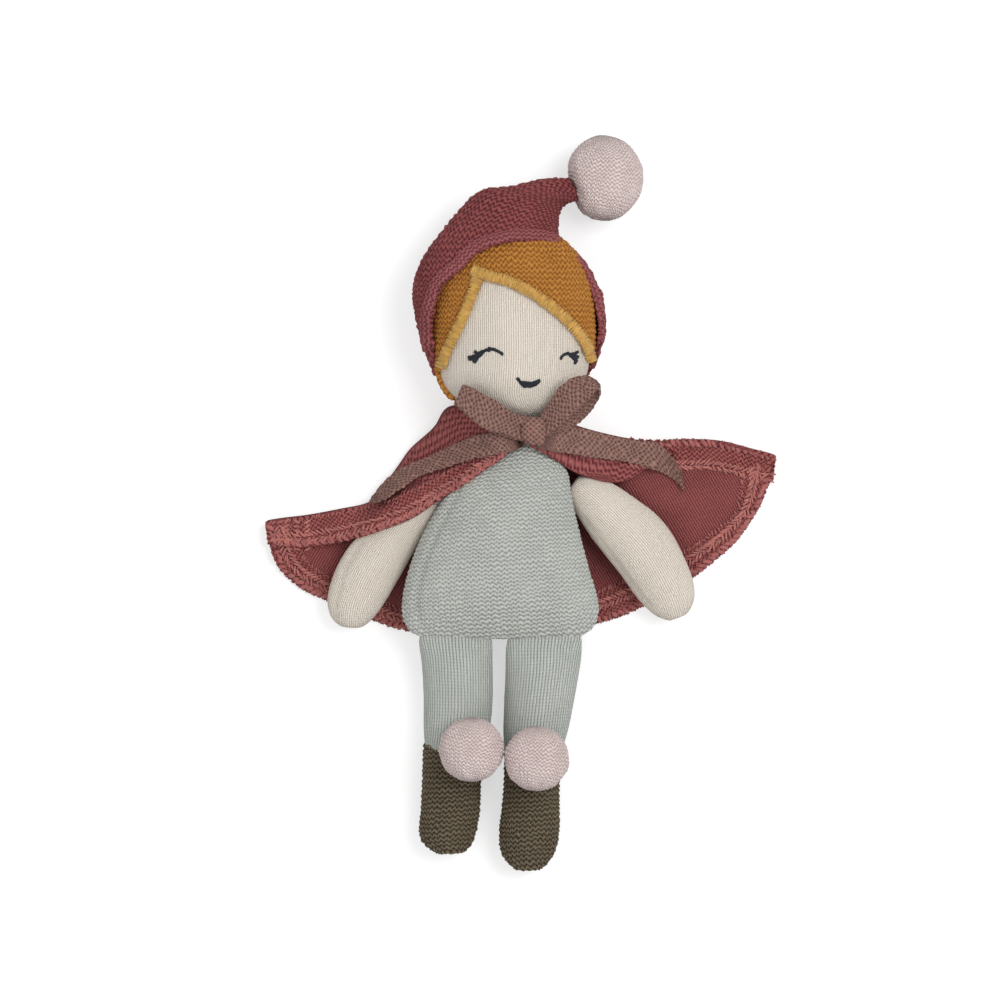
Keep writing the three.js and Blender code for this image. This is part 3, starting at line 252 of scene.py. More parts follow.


# each cloth's dark colour is painted shade in its pits and its light colour painted light on its raised
# loops, both also reached by the yarn's uneven dye; base is its own colour, and light also tints the sheen
cloths = {
    "capeInside": knitted("knitColumns", (0.00078, 0.0009, 0.5),
            "#ab615e", "#884848", "#4b1f24", 0.45, turn=-30),
    "capeOutside": knitted("wavyRows", (0.002, 0.0016, 0.22, 0.2), "#b26a65", "#955252", "#541f25", 0.5),
    "hemKnit": knitted("wavyRows", (0.0017, 0.0014, 0.3, 0.2),
            "#c1746c", "#9a5452", "#57232a", 0.5, sheen=0.25),
    "hatKnit": knitted("wavyRows", (0.0021, 0.00165, 0.24, 0.2), "#a35b58", "#8c484a", "#4c1e24", 0.55),
    "brimKnit": knitted("wavyRows", (0.0015, 0.0012, 0.2, 0.2),
            "#a86767", "#8e4f52", "#5f2a30", 0.35, sheen=0.25),
    "dressKnit": knitted("wavyRows", (0.0019, 0.00132, 0.2, 0.3),
            "#cdcfc9", "#bcbeb8", "#898e89", 0.34, turn=4, sheen=0.25),
    "stocking": knitted("knitColumns", (0.00104, 0.001, 0.3),
            "#e2e5df", "#cdd2cb", "#7d8782", 0.75, sheen=0.25),
    "bootKnit": knitted("wavyRows", (0.0019, 0.0015, 0.22, 0.2),
            "#8d8069", "#655a49", "#2a241b", 0.6, turn=2, sheen=0.15),
    "ballKnit": knitted("wavyRows", (0.0015, 0.0012, 0.24, 0.2),
            "#f1e2de", "#e2d0cd", "#b09a97", 0.4, turn=8, sheen=0.35),
    "faceJersey": knitted("knitColumns", (0.00072, 0.0008, 0.25), "#f2e9dd", "#e5dbce", "#b3a491", 0.32),
    "hairKnit": knitted("wavyRows", (0.0017, 0.0016, 0.22, 0.2),
            "#c98c44", "#ba7c38", "#86521d", 0.45, turn=14),
    "ribbonTape": knitted("tapeWeave", (0.0009, 0.0008), "#b28d81", "#84625a", "#33201d", 0.6, sheen=0.15),
}


def addEffect(tree, effect, values):
    node = tree.nodes.new("ShaderNodeGroup")
    node.node_tree = effects[effect]
    return fillNode(tree, node, values)


def addBump(tree, surface, relief, depth):
    bump = addNode(tree, "Bump", {"Distance": depth * mm, "Height": relief})
    fillNode(tree, surface, {"Normal": bump.outputs[0]})


def clothMaterial(name):
    cloth = cloths[name]
    material, tree, surface = newMaterial(name, {
        "Roughness": 0.92, "Specular IOR Level": 0.18, "Sheen Weight": cloth["sheen"], "Sheen Roughness": 0.6,
        "Sheen Tint": shade(cloth["light"])})
    weave = tree.nodes.new("ShaderNodeAttribute")
    weave.attribute_name = "weave"
    knit = addEffect(tree, cloth["knit"], {"Place": weave.outputs["Vector"], **cloth["sizes"]})
    fibre = addEffect(tree, "yarnFibre", {"Place": weave.outputs["Vector"]})

    # the colour runs from dark, the painted shade in the pits, through base to light, the painted light on
    # the loop tops
    ramp = tree.nodes.new("ShaderNodeValToRGB")
    ramp.color_ramp.elements[0].color = shade(cloth["dark"])
    ramp.color_ramp.elements[1].color = shade(cloth["light"])
    middle = ramp.color_ramp.elements.new(0.45)
    middle.color = shade(cloth["base"])
    # painted shade and painted light: the knit's pits and the tape's holes are darkened and the raised loops
    # lightened in the colour, as light falls on the relief; the dye and fibre noise added after is the yarn's
    # own uneven tone
    paintedShadeAndDye = calc(tree, "SUBTRACT", knit.outputs["Height"], calc(tree, "MULTIPLY", knit.outputs["Pits"], 0.55))
    paintedShadeAndDye = calc(tree, "MULTIPLY_ADD", paintedShadeAndDye, 0.55, 0.26)
    for effect, share in (("Dye", 0.45), ("Hairs", 0.7)):
        uneven = calc(tree, "SUBTRACT", fibre.outputs[effect], 0.5)
        paintedShadeAndDye = calc(tree, "ADD", paintedShadeAndDye, calc(tree, "MULTIPLY", uneven, share))
    fillNode(tree, ramp, {"Fac": paintedShadeAndDye})
    fillNode(tree, surface, {"Base Color": ramp.outputs["Color"]})
    relief = calc(tree, "ADD", knit.outputs["Height"], calc(tree, "MULTIPLY", fibre.outputs["Hairs"], 0.55))
    addBump(tree, surface, relief, cloth["depth"])
    return material


materials = {name: clothMaterial(name) for name in cloths}

threads = {
    "satinThread": {"base": "#d6aa56", "dark": "#9a702c", "roughness": 0.45, "sheen": 0.3},
    "navyThread": {"base": "#1d242c", "dark": "#0c1014", "roughness": 0.6, "sheen": 0.1},
    "coverThread": {"base": "#bd756a", "dark": "#8b464a", "roughness": 0.75, "sheen": 0.3},
    "hemThread": {"base": "#b0655f", "dark": "#7c3c3f", "roughness": 0.8, "sheen": 0.3},
}


def threadMaterial(name):
    thread = threads[name]
    material, tree, surface = newMaterial(name, {
        "Roughness": thread["roughness"], "Specular IOR Level": 0.3, "Sheen Weight": thread["sheen"]})
    place = tree.nodes.new("ShaderNodeTexCoord").outputs["Object"]
    fibre = addEffect(tree, "yarnFibre", {"Fine": 5200, "Blotch": 500, "Place": place})
    mix = tree.nodes.new("ShaderNodeMix")
    mix.data_type = "RGBA"
    dye = calc(tree, "MULTIPLY_ADD", fibre.outputs["Dye"], 1.6, -0.1)
    fillNode(tree, mix, {"A": shade(thread["dark"]), "B": shade(thread["base"]), "Factor": dye})
    fillNode(tree, surface, {"Base Color": mix.outputs["Result"]})
    addBump(tree, surface, fibre.outputs["Hairs"], 0.08)
    return material


materials.update({name: threadMaterial(name) for name in threads})
print("cloth and thread materials are made")

# ---- padded forms: rings between the two silhouette points of each section


def smoothRows(rows, steps):  # more rows between the given ones, on a smooth curve through them
    filled = []
    for index in range(len(rows) - 1):
        near = [rows[max(0, min(len(rows) - 1, index + k))] for k in (-1, 0, 1, 2)]
        for step in range(steps):
            t = step / steps
            filled.append([0.5 * (2 * b + (c - a) * t + (2 * a - 5 * b + 4 * c - d) * t * t
                                  + (3 * b - a - 3 * c + d) * t ** 3) for a, b, c, d in zip(*near)])
    filled.append(list(rows[-1]))
    return filled


def ringPlace(row):  # the ring's own axes: across, up, along
    left, right = plan(row[0], row[1]), plan(row[2], row[3])
    across = (right - left) / 2
    centre = (left + right) / 2 + up * row[4] * mm
    along = across.normalized().cross(up)
    place = Matrix.Identity(4)
    place.col[0] = across.to_4d() * 1.0
    place.col[1] = (up * row[5] * mm).to_4d()
    place.col[2] = along.to_4d()
    place.col[3] = centre.to_4d()
    for column in (0, 1, 2):
        place[3][column] = 0
    return place


def objectOf(name, shape, material=None):
    mesh = bpy.data.meshes.new(name)
    shape.to_mesh(mesh)
    shape.free()
    piece = bpy.data.objects.new(name, mesh)
    scene.collection.objects.link(piece)
    if material:
        mesh.materials.append(materials[material])
    return piece


def loft(name, rows, sides=28):
    places = [ringPlace(row) for row in rows]
    shape = bmesh.new()
    bmesh.ops.create_circle(shape, cap_ends=True, radius=1, segments=sides)
    bmesh.ops.transform(shape, matrix=places[0], verts=shape.verts)
    edges = list(shape.edges)
    for before, after in zip(places, places[1:]):
        grown = bmesh.ops.extrude_edge_only(shape, edges=edges)["geom"]
        ring = {g for g in grown if isinstance(g, bmesh.types.BMVert)}
        edges = [g for g in grown if isinstance(g, bmesh.types.BMEdge) and all(v in ring for v in g.verts)]
        bmesh.ops.transform(shape, matrix=after @ before.inverted(), verts=list(ring))
    bmesh.ops.contextual_create(shape, geom=edges)
    bmesh.ops.recalc_face_normals(shape, faces=shape.faces)
    return objectOf(name, shape)


def settle(piece):  # the modifiers go into the mesh
    graph = bpy.context.evaluated_depsgraph_get()
    kept = bpy.data.meshes.new_from_object(piece.evaluated_get(graph))
    kept.name = piece.name
    piece.modifiers.clear()
    piece.data = kept


def remesh(piece, voxel):
    even = piece.modifiers.new("even", "REMESH")
    even.mode = "VOXEL"
    even.voxel_size = voxel
    settle(piece)


stuffing = {"enlarge": 4, "pressure": 4, "frames": 20, "voxel": 1.25}


def stuff(piece, cap, pressure=stuffing["pressure"], seams=0.14):
    # blown up like a filled cushion with its side seams held; no point moves further than the cap
    remesh(piece, stuffing["voxel"] * mm)
    rest = [v.co.copy() for v in piece.data.vertices]
    size = stuffing["enlarge"]
    piece.data.transform(Matrix.Scale(size, 4))
    held = piece.vertex_groups.new(name="seams")
    held.add([v.index for v in piece.data.vertices if abs(v.normal.z) < seams], 1.0, "REPLACE")
    cloth = piece.modifiers.new("cloth", "CLOTH")
    cloth.settings.quality = 4
    cloth.settings.use_pressure = True
    cloth.settings.uniform_pressure_force = pressure
    cloth.settings.vertex_group_mass = "seams"
    cloth.settings.effector_weights.gravity = 0
    cloth.point_cache.frame_end = stuffing["frames"]
    for step in range(1, stuffing["frames"] + 1):
        scene.frame_set(step)
    blown = piece.evaluated_get(bpy.context.evaluated_depsgraph_get()).data
    for vertex, after, before in zip(piece.data.vertices, blown.vertices, rest):
        move = after.co / size - before
        if move.length > cap * mm:
            move *= cap * mm / move.length
        vertex.co = before + move
    piece.modifiers.clear()
    piece.vertex_groups.clear()
    scene.frame_set(1)
    return rest


def turned(place, degrees):
    c, s = math.cos(math.radians(degrees)), math.sin(math.radians(degrees))
    return (place[0] * c - place[1] * s, place[0] * s + place[1] * c, 0)


def setWeave(piece, places, cloth=None):
    if cloth:
        places = [turned(place, cloths[cloth]["turn"]) for place in places]
    weave = piece.data.attributes.get("weave") or piece.data.attributes.new("weave", "FLOAT_VECTOR", "POINT")
    weave.data.foreach_set("vector", [c for place in places for c in place])


def readWeave(piece):  # the settled mesh's cloth places, and its normals
    settle(piece)
    weave = piece.data.attributes["weave"]
    flat = [0.0] * (3 * len(piece.data.vertices))
    weave.data.foreach_get("vector", flat)
    return weave, flat, [vertex.normal.copy() for vertex in piece.data.vertices]


def knitRelief(piece, cloth, depth, drifting=0.45):
    # the rows of the knit stand out in the mesh too, and wander a little
    sizes = cloths[cloth]["sizes"]
    weave, flat, normals = readWeave(piece)
    for index, vertex in enumerate(piece.data.vertices):
        u, v = flat[3 * index:3 * index + 2]
        place = Vector((u, v, 0)) * 230
        u += noise.noise(place) * sizes["Stitch"] * drifting
        v += noise.noise(place + Vector((9, 4, 2))) * sizes["Row"] * drifting
        flat[3 * index:3 * index + 2] = [u, v]
        across = u / sizes["Stitch"]
        level = v / sizes["Row"] + math.sin(math.tau * across) * sizes["Wave"]
        ridge = 0.5 + 0.5 * math.cos(math.tau * level)
        beads = 0.5 + 0.5 * math.cos(2 * math.tau * across)
        height = ridge * (0.66 + 0.34 * beads) - 0.4 + 0.5 * noise.noise(place * 4)
        vertex.co += normals[index] * height * depth * mm
        vertex.co.z = max(vertex.co.z, 0.02 * mm)
    weave.data.foreach_set("vector", flat)


def alongForm(rows, points):  # each point's place on the cloth: across from the front's middle, and along
    stations = []
    mark = 0.0
    for index, row in enumerate(rows):
        place = ringPlace(row)
        centre, across, ahead = (place.col[k].to_3d() for k in (3, 0, 2))
        if index:
            step = centre - stations[-1]["centre"]
            mark += step.length
            ahead = ahead if ahead.dot(step) > 0 else -ahead
            if index == 1 and stations[0]["ahead"].dot(step) < 0:
                stations[0]["ahead"] *= -1
        stations.append({"centre": centre, "across": across.normalized(), "ahead": ahead.normalized(),
                         "wide": across.length, "thick": row[5] * mm, "mark": mark})
    places = []
    for point in points:
        passed = [(point - s["centre"]).dot(s["ahead"]) for s in stations]
        between = [k for k in range(len(rows) - 1) if passed[k] >= 0 > passed[k + 1]]
        if between:
            index = min(between, key=lambda k: (point - stations[k]["centre"]).length_squared)
            share = passed[index] / (passed[index] - passed[index + 1])
            beyond = 0
        elif passed[0] < 0:
            index, share, beyond = 0, 0, passed[0]
        else:
            index, share, beyond = len(rows) - 2, 1, passed[-1]
        asides = []
        for s in stations[index:index + 2]:
            off = max(-1, min(1, (point - s["centre"]).dot(s["across"]) / s["wide"]))
            under = 0.57 * s["thick"] * (1 - math.cos(math.asin(off)))
            asides.append(math.copysign(s["wide"] * abs(off) + under, off))
        marks = [s["mark"] for s in stations[index:index + 2]]
        aside = asides[0] + (asides[1] - asides[0]) * share
        places.append((aside, marks[0] + (marks[1] - marks[0]) * share + beyond, 0))
    return places


def inOutline(point, outline):
    inside = False
    for a, b in zip(outline, outline[1:] + outline[:1]):
        between = (a.y > point.y) != (b.y > point.y)
        if between and point.x < (b.x - a.x) * (point.y - a.y) / (b.y - a.y) + a.x:
            inside = not inside
    return inside


def nearestOn(point, outline, closed=True):
    best, least = None, 1e9
    ends = outline[1:] + outline[:1] if closed else outline[1:]
    for a, b in zip(outline, ends):
        span = b - a
        t = max(0, min(1, (point - a).dot(span) / max(span.length_squared, 1e-12)))
        spot = a + span * t
        if (spot - point).length < least:
            best, least = spot, (spot - point).length
    return best, least


def outlineOf(points):
    return [plan(*point).to_2d() for point in smoothRows(points, 6)]


def gridOf(shape, columns, rows):  # a flat grid's points, each with its column and row
    bmesh.ops.create_grid(shape, x_segments=columns, y_segments=rows, size=1)
    return [(vertex, round((vertex.co.x + 1) / 2 * columns), round((vertex.co.y + 1) / 2 * rows))
            for vertex in shape.verts]


def marksOf(line):  # how far along the line each of its points lies
    marks = [0.0]
    for a, b in zip(line, line[1:]):
        marks.append(marks[-1] + (b - a).length)
    return marks


def pressSeam(piece, line):  # a seam sinks between two soft ridges
    marks = outlineOf(line["points"])
    for vertex in piece.data.vertices:
        if vertex.co.z < line.get("above", 6) * mm:
            continue
        _, gap = nearestOn(vertex.co.to_2d(), marks, False)
        near = gap / (line.get("width", 1.1) * mm)
        if near < 3:
            vertex.co += vertex.normal * line["depth"] * mm * (0.45 * near ** 2 - 1) * math.exp(-near ** 2)


def paddedForm(name, settings, material, body, nodes):
    rows = smoothRows(settings["sections"], settings.get("steps", 4))
    piece = loft(name, rows)
    rest = stuff(piece, settings["cap"], settings.get("pressure", 4))
    setWeave(piece, alongForm(rows, rest), material)
    piece.data.materials.append(materials[material])
    for vertex in piece.data.vertices:
        vertex.co.z = max(vertex.co.z, settings.get("floor", 0.05) * mm)
    for line in settings.get("seams", []):
        pressSeam(piece, line)
    smoothed(piece, settings.get("level", 1))
    if settings.get("relief"):
        knitRelief(piece, material, settings["relief"])
    handOver(piece, nodes, body)
    return piece


def handOver(piece, nodes, body=None):  # what it stands for, and what it rides on
    if nodes:
        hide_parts(*nodes)
    if body:
        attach(piece, body)


def smoothed(piece, level=1):
    for polygon in piece.data.polygons:
        polygon.use_smooth = True
    if level:
        rounder = piece.modifiers.new("rounder", "SUBSURF")
        rounder.levels = rounder.render_levels = level


def thicken(piece, thickness, offset=-1.0):
    wall = piece.modifiers.new("wall", "SOLIDIFY")
    wall.thickness = thickness * mm
    wall.offset = offset
    return wall


def surfaceOf(*pieces):
    graph = bpy.context.evaluated_depsgraph_get()
    graph.update()
    whole = bmesh.new()
    for piece in pieces:
        whole.from_mesh(piece.evaluated_get(graph).data)
    tree = BVHTree.FromBMesh(whole)
    whole.free()
    return tree


def topOf(tree, place, missing=None):  # height and normal of the surface under a plan place
    hit, normal, _, _ = tree.ray_cast(Vector((place.x, place.y, 0.2)), Vector((0, 0, -1)))
    if hit is None:
        return missing, up
    return hit.z, normal


# ---- body, legs and boots; a section is [left x, left y, right x, right y, middle height, half thickness]

torsoForm = {
    "cap": 1.1,
    "sections": [
        [510, 440, 537, 440, 17.2, 4.6], [502, 447, 547, 447, 16.8, 6.2], [487, 459, 561, 459, 16.0, 7.8],
        [466, 474, 569, 474, 15.2, 9.2], [450, 488, 571, 488, 14.9, 10.6], [435, 510, 575, 510, 14.6, 11.8],
        [418, 543, 583, 543, 14.6, 12.6], [407, 573, 591, 573, 14.6, 12.7], [401, 602, 599, 600, 14.6, 11.4],
        [402, 620, 599, 618, 14.6, 8.2], [409, 632, 593, 630, 14.6, 5.0], [420, 638, 583, 637, 14.6, 2.6],
        [428, 640, 577, 639, 14.6, 1.5]],
    "floor": 1.6, "level": 2, "relief": 0.24,
    "seams": [{"points": [[458, 490], [450, 505], [436, 533], [423, 566], [416, 596], [416, 612], [421, 626]],
               "depth": 0.8, "width": 1.2}],
}
torso = paddedForm("dress", torsoForm, "dressKnit", "torso",
                   ("dress_front", "dress_back", "torso_filling"))

legForms = {
    "left": {
        "cap": 0.8,
        "sections": [
            [419, 632, 491, 633, 14.6, 1.8], [417, 638, 493, 639, 14.4, 2.9], [418, 646, 493, 647, 13.4, 5.0],
            [421, 663, 493, 668, 11.4, 7.7], [423, 698, 493, 700, 9.6, 9.3], [423, 730, 490, 730, 9.2, 9.3],
            [425, 750, 482, 750, 9.1, 8.6], [430, 760, 477, 760, 9.1, 7.0]],
    },
    "right": {
        "cap": 0.8,
        "sections": [
            [508, 634, 582, 633, 14.6, 1.8], [506, 640, 584, 640, 14.4, 2.9], [505, 648, 583, 648, 13.4, 5.0],
            [505, 672, 581, 666, 11.4, 7.7], [504, 703, 575, 700, 9.6, 9.3], [503, 733, 569, 730, 9.2, 9.3],
            [505, 756, 561, 756, 9.1, 8.6], [509, 766, 555, 766, 9.1, 7.0]],
    },
}
bootForms = {
    "left": {
        "cap": 0.7, "level": 2, "relief": 0.4,
        "sections": [
            [425, 740, 484, 740, 8.6, 8.0], [423, 745, 483, 745, 8.6, 8.6], [422, 765, 482, 765, 8.5, 8.7],
            [421, 792, 481, 790, 8.5, 8.8], [420, 815, 480, 812, 8.5, 8.6], [418, 835, 477, 831, 8.4, 7.8],
            [425, 848, 472, 846, 8.2, 5.8], [437, 856, 463, 855, 8.0, 3.6]],
    },
    "right": {
        "cap": 0.7, "level": 2, "relief": 0.4,
        "sections": [
            [504, 749, 562, 749, 8.6, 8.0], [504, 754, 561, 754, 8.6, 8.6], [504, 775, 560, 775, 8.5, 8.7],
            [502, 805, 560, 803, 8.5, 8.8], [499, 832, 560, 830, 8.5, 8.6], [500, 852, 557, 850, 8.4, 7.8],
            [508, 866, 549, 864, 8.2, 5.8], [518, 873, 541, 872, 8.0, 3.6]],
    },
}
ballForms = {
    "left": {"centre": (471.5, 748.7), "height": 24.7, "radius": 9.6, "seed": 3},
    "right": {"centre": (536.5, 757.8), "height": 25.5, "radius": 9.6, "seed": 8},
}


ballShape = {"gatherFrom": 0.72, "gatherDeep": 2.2, "pleats": 9, "pleatDeep": 0.35, "relief": 0.3}


def yarnBall(name, settings, body, nodes, flatAt=None, gather=None):
    centre = plan(*settings["centre"], settings["height"])
    shape = bmesh.new()
    bmesh.ops.create_icosphere(shape, subdivisions=5, radius=settings["radius"] * mm)
    places = []
    radius, seed, form = settings["radius"] * mm, settings["seed"], ballShape
    for vertex in shape.verts:
        direction = vertex.co.normalized()
        places.append((math.atan2(direction.x, direction.z + 1e-6) * radius,
                       math.asin(max(-1, min(1, direction.y))) * radius, 0))
        lump = noise.noise(direction * 2.2 + Vector((seed, 0, 0))) * 0.35
        lump += noise.noise(direction * 6.0 + Vector((0, seed, 0))) * 0.18
        if gather is not None:
            near = max(0, direction.dot(gather) - form["gatherFrom"]) / (1 - form["gatherFrom"])
            pleats = math.sin(form["pleats"] * math.atan2(direction.y, direction.z))
            lump -= form["gatherDeep"] * near ** 1.5 + form["pleatDeep"] * near * pleats
        vertex.co += direction * lump * mm
        vertex.co.y *= settings.get("tall", 1)
    bmesh.ops.translate(shape, vec=centre, verts=shape.verts)
    if flatAt is not None:
        for vertex in shape.verts:
            vertex.co.z = max(vertex.co.z, flatAt * mm)
    piece = objectOf(name, shape, "ballKnit")
    setWeave(piece, places, "ballKnit")
    smoothed(piece, 1)
    knitRelief(piece, "ballKnit", ballShape["relief"])
    handOver(piece, nodes, body)


for side in ("left", "right"):
    paddedForm(f"stocking_{side}", legForms[side], "stocking", f"leg_{side}",
               (f"leg_{side}", f"leg_{side}_filling"))
    paddedForm(f"boot_knit_{side}", bootForms[side], "bootKnit", f"leg_{side}",
               (f"boot_{side}",))
    yarnBall(f"boot_ball_{side}", ballForms[side], f"leg_{side}",
             (f"boot_ball_{side}_cover", f"boot_ball_{side}_filling"))
print("body, legs, boots and their balls are made")

# ---- arms

armForms = {
    "left": {
        "cap": 0.8, "floor": 1.6,
        "sections": [
            [416, 484, 446, 492, 10.2, 3.6], [403, 488, 444, 500, 10.2, 5.0], [386, 504, 436, 517, 9.6, 6.0],
            [366, 527, 423, 537, 8.6, 6.3], [349, 545, 412, 556, 8.1, 6.5], [336, 566, 400, 577, 8.1, 6.5],
            [328, 588, 389, 596, 8.1, 6.4], [326, 605, 380, 610, 8.1, 5.9], [331, 620, 371, 621, 8.1, 4.6],
            [341, 628, 361, 629, 8.1, 2.4]],
        "seams": [{"points": [[362, 540], [353, 552], [344, 568], [338, 588], [334, 605], [336, 620]],
                   "depth": 0.5, "width": 0.9, "above": 8}],
    },
    "right": {
        "cap": 0.8, "floor": 1.6,
        "sections": [
            [566, 493, 579, 475, 10.2, 3.6], [570, 503, 593, 475, 10.2, 5.0], [579, 519, 615, 484, 9.6, 6.0],
            [593, 540, 636, 498, 8.6, 6.3], [607, 558, 655, 512, 8.1, 6.5], [622, 577, 671, 530, 8.1, 6.6],
            [636, 597, 684, 554, 8.1, 6.4], [645, 607, 694, 579, 8.1, 5.9], [655, 616, 696, 599, 8.1, 4.6],
            [669, 622, 689, 615, 8.1, 2.4]],
        "seams": [{"points": [[583, 517], [597, 536], [612, 556], [627, 577], [641, 596], [651, 606]],
                   "depth": 0.4, "width": 0.8, "above": 8}],
    },
}
arms = {}
for side in ("left", "right"):
    arms[side] = paddedForm(f"arm_{side}_cover", armForms[side], "faceJersey", f"arm_{side}",
                            (f"arm_{side}_skin", f"arm_{side}_filling"))
print("arms are made")

# ---- head, neck and hair

headForm = {
    "cap": 1.0,
    "sections": [
        [510, 419, 538, 419, 19.0, 3.2], [494, 415, 549, 414, 19.0, 7.0], [470, 407, 562, 406, 19.0, 10.8],
        [451, 396, 573, 396, 19.0, 13.4], [441, 382, 584, 382, 19.0, 15.6], [437, 362, 590, 362, 19.0, 16.4],
        [435, 335, 592, 335, 19.0, 16.6], [435, 305, 591, 305, 19.0, 16.2], [440, 278, 587, 278, 19.0, 15.0],
        [450, 256, 575, 256, 19.0, 12.6], [466, 240, 558, 240, 19.0, 9.0], [485, 232, 538, 232, 19.0, 4.6]],
}
head = paddedForm("head_cover", headForm, "faceJersey", "head",
                  ("head_skin", "head_filling"))

neckForm = {
    "cap": 0.4,
    "sections": [[502, 452, 545, 452, 16.6, 5.6], [500, 440, 546, 440, 16.8, 5.8],
                 [500, 425, 546, 425, 16.8, 5.8],
                 [503, 417, 543, 417, 17.4, 5.2]],
}
neck = paddedForm("neck_cover", neckForm, "faceJersey", "torso", ("neck",))


def layerOn(source, name, outline, low, high, material, lowest=None, highest=99):
    # cloth cut to an outline and sewn on a form: the form's own faces inside it, thickened outwards
    graph = bpy.context.evaluated_depsgraph_get()
    graph.update()
    skin = surfaceOf(source)
    shape = bmesh.new()
    shape.from_mesh(source.evaluated_get(graph).data)
    middle = sum((v.co.z for v in shape.verts)) / len(shape.verts)
    lost = []
    for vertex in shape.verts:
        outside = vertex.co.z < (middle if lowest is None else lowest * mm) or vertex.co.z > highest * mm
        if outside or not inOutline(vertex.co.to_2d(), outline):
            lost.append(vertex)
    bmesh.ops.delete(shape, geom=lost, context="VERTS")
    for vertex in shape.verts:
        if vertex.is_boundary:
            spot, gap = nearestOn(vertex.co.to_2d(), outline)
            if gap < 0.0012:
                found = skin.find_nearest(Vector((spot.x, spot.y, vertex.co.z)))
                vertex.co = found[0]
    shape.normal_update()
    for vertex in shape.verts:
        vertex.co += vertex.normal * low * mm
    piece = objectOf(name, shape, material)
    thicken(piece, high - low, 1).use_even_offset = True
    smoothed(piece, 1)
    knitRelief(piece, material, 0.35)
    return piece


hairline = {
    "left": [[476, 273], [475, 288], [466, 312], [455, 335], [445, 356], [440, 368]],
    "right": [[472, 271], [489, 278], [508, 283], [530, 294], [552, 309], [572, 327], [586, 345], [592, 362]],
}
hairOutlines = {
    "left": [[476, 262], [455, 266], [436, 285], [431, 310], [430, 340], [433, 374], [441, 374], [448, 358],
             [461, 334], [474, 306], [484, 280], [480, 264], [476, 262]],
    "right": [[470, 262], [500, 236], [545, 234], [575, 250], [594, 280], [600, 320], [600, 362], [590, 366],
              [584, 350], [566, 328], [546, 310], [524, 296], [502, 286], [480, 279], [470, 262]],
}
for side in ("left", "right"):
    hair = layerOn(head, f"hair_knit_{side}", outlineOf(hairOutlines[side]), 0.05, 1.25, "hairKnit")
    handOver(hair, [f"hair_{side}"], "head")
napeOutline = outlineOf([[430, 394], [430, 368], [470, 368], [470, 396], [448, 398], [430, 394]])
nape = layerOn(head, "hair_nape", napeOutline, -0.5, 1.1, "hairKnit", lowest=-99, highest=22.8)
handOver(nape, ["hair_back"], "head")
print("head and hair are made")

# ---- stitches: short lengths of thread laid on the cloth


def threadRun(name, stitches, material, body=None, nodes=()):
    # each stitch: middle, direction, normal, length, width, height in metres
    shape = bmesh.new()
    for middle, direction, normal, length, width, height in stitches:
        side = normal.cross(direction).normalized()
        over = direction.cross(side).normalized()
        place = Matrix.Identity(4)
        axes = (direction.normalized() * (length / 2), side * (width / 2), over * (height / 2))
        for column, axis in enumerate(axes):
            for row in range(3):
                place[row][column] = axis[row]
        place.translation = middle
        bmesh.ops.create_uvsphere(shape, u_segments=6, v_segments=5, radius=1,
                                  matrix=place @ Matrix.Rotation(math.pi / 2, 4, "Y"))
    piece = objectOf(name, shape, material)
    smoothed(piece, 0)
    handOver(piece, nodes, body)
    return piece


def walk(points, pitch):  # even steps along a plan line: place and direction
    places = []
    left = 0.0
    for a, b in zip(points, points[1:]):
        span = (b - a).length
        while left < span:
            places.append((a.lerp(b, left / span), (b - a).normalized()))
            left += pitch
        left -= span
    return places


random.seed(11)
satin = {"pitch": 0.3, "width": 3.5, "thread": 0.4, "height": 1.0}
headTop = surfaceOf(head, *[bpy.data.objects[f"hair_knit_{side}"] for side in ("left", "right")])
for side in ("left", "right"):
    stitches = []
    for place, direction in walk(outlineOf(hairline[side]), satin["pitch"] * mm):
        across = Vector((-direction.y, direction.x, 0))
        across = (Matrix.Rotation(math.radians(random.uniform(-7, 7)), 3, "Z") @ across).normalized()
        shift = random.uniform(-0.12, 0.12) * mm
        reach = satin["width"] * mm * random.uniform(0.94, 1.06)
        ends = []
        for sign in (-1, 1):
            spot = place.to_3d() + across * (sign * reach / 2 + shift)
            z, _ = topOf(headTop, spot, None)
            if z is None:
                z = headTop.find_nearest(Vector((spot.x, spot.y, 0.022)))[0].z
            ends.append(Vector((spot.x, spot.y, z)))
        middle = (ends[0] + ends[1]) / 2
        z, normal = topOf(headTop, middle, middle.z)
        middle.z = max(middle.z, z) + 0.3 * mm
        stitches.append((middle, (ends[1] - ends[0]).normalized(), normal, (ends[1] - ends[0]).length * 1.04,
                         satin["thread"] * mm, satin["height"] * mm))
    threadRun(f"hairline_satin_{side}", stitches, "satinThread", "head",
              (f"hairline_{side}",))

faceLines = {
    "eye_left": [[[469.5, 358.5], [475, 356.5], [480, 354], [486, 351.5], [492, 350.5], [498, 352.5],
                 [503, 356]],
                 [[483, 354], [478.5, 358.5], [474.5, 363.5]], [[478, 357], [473, 360], [469, 360.5]],
                 [[477, 354], [474.5, 352.5]], [[489, 351.5], [489.5, 349]], [[476.5, 359.5], [474, 362]]],
    "eye_right": [[[560.5, 359], [563, 356], [567, 354.5], [572, 355.5], [577, 357]],
                  [[569, 355], [574, 354.5], [578, 352.5]], [[571, 356], [575, 357.5], [579, 358]],
                  [[570, 357], [574, 360], [575, 364]], [[573, 358], [576, 361], [575, 362.5]]],
    "mouth": [[[518, 380], [520, 382.5], [524, 385], [529, 385.5], [534, 383.5], [540, 381]],
              [[519, 381.5], [523, 386.5], [526, 387.5]], [[527, 387], [533, 386.5], [539, 382.5]],
              [[524, 383.5], [531, 384]]],
}
floss = {"pitch": 0.5, "length": 1.25, "width": 0.6, "height": 0.7, "apart": 0.23}
faceTop = surfaceOf(head)
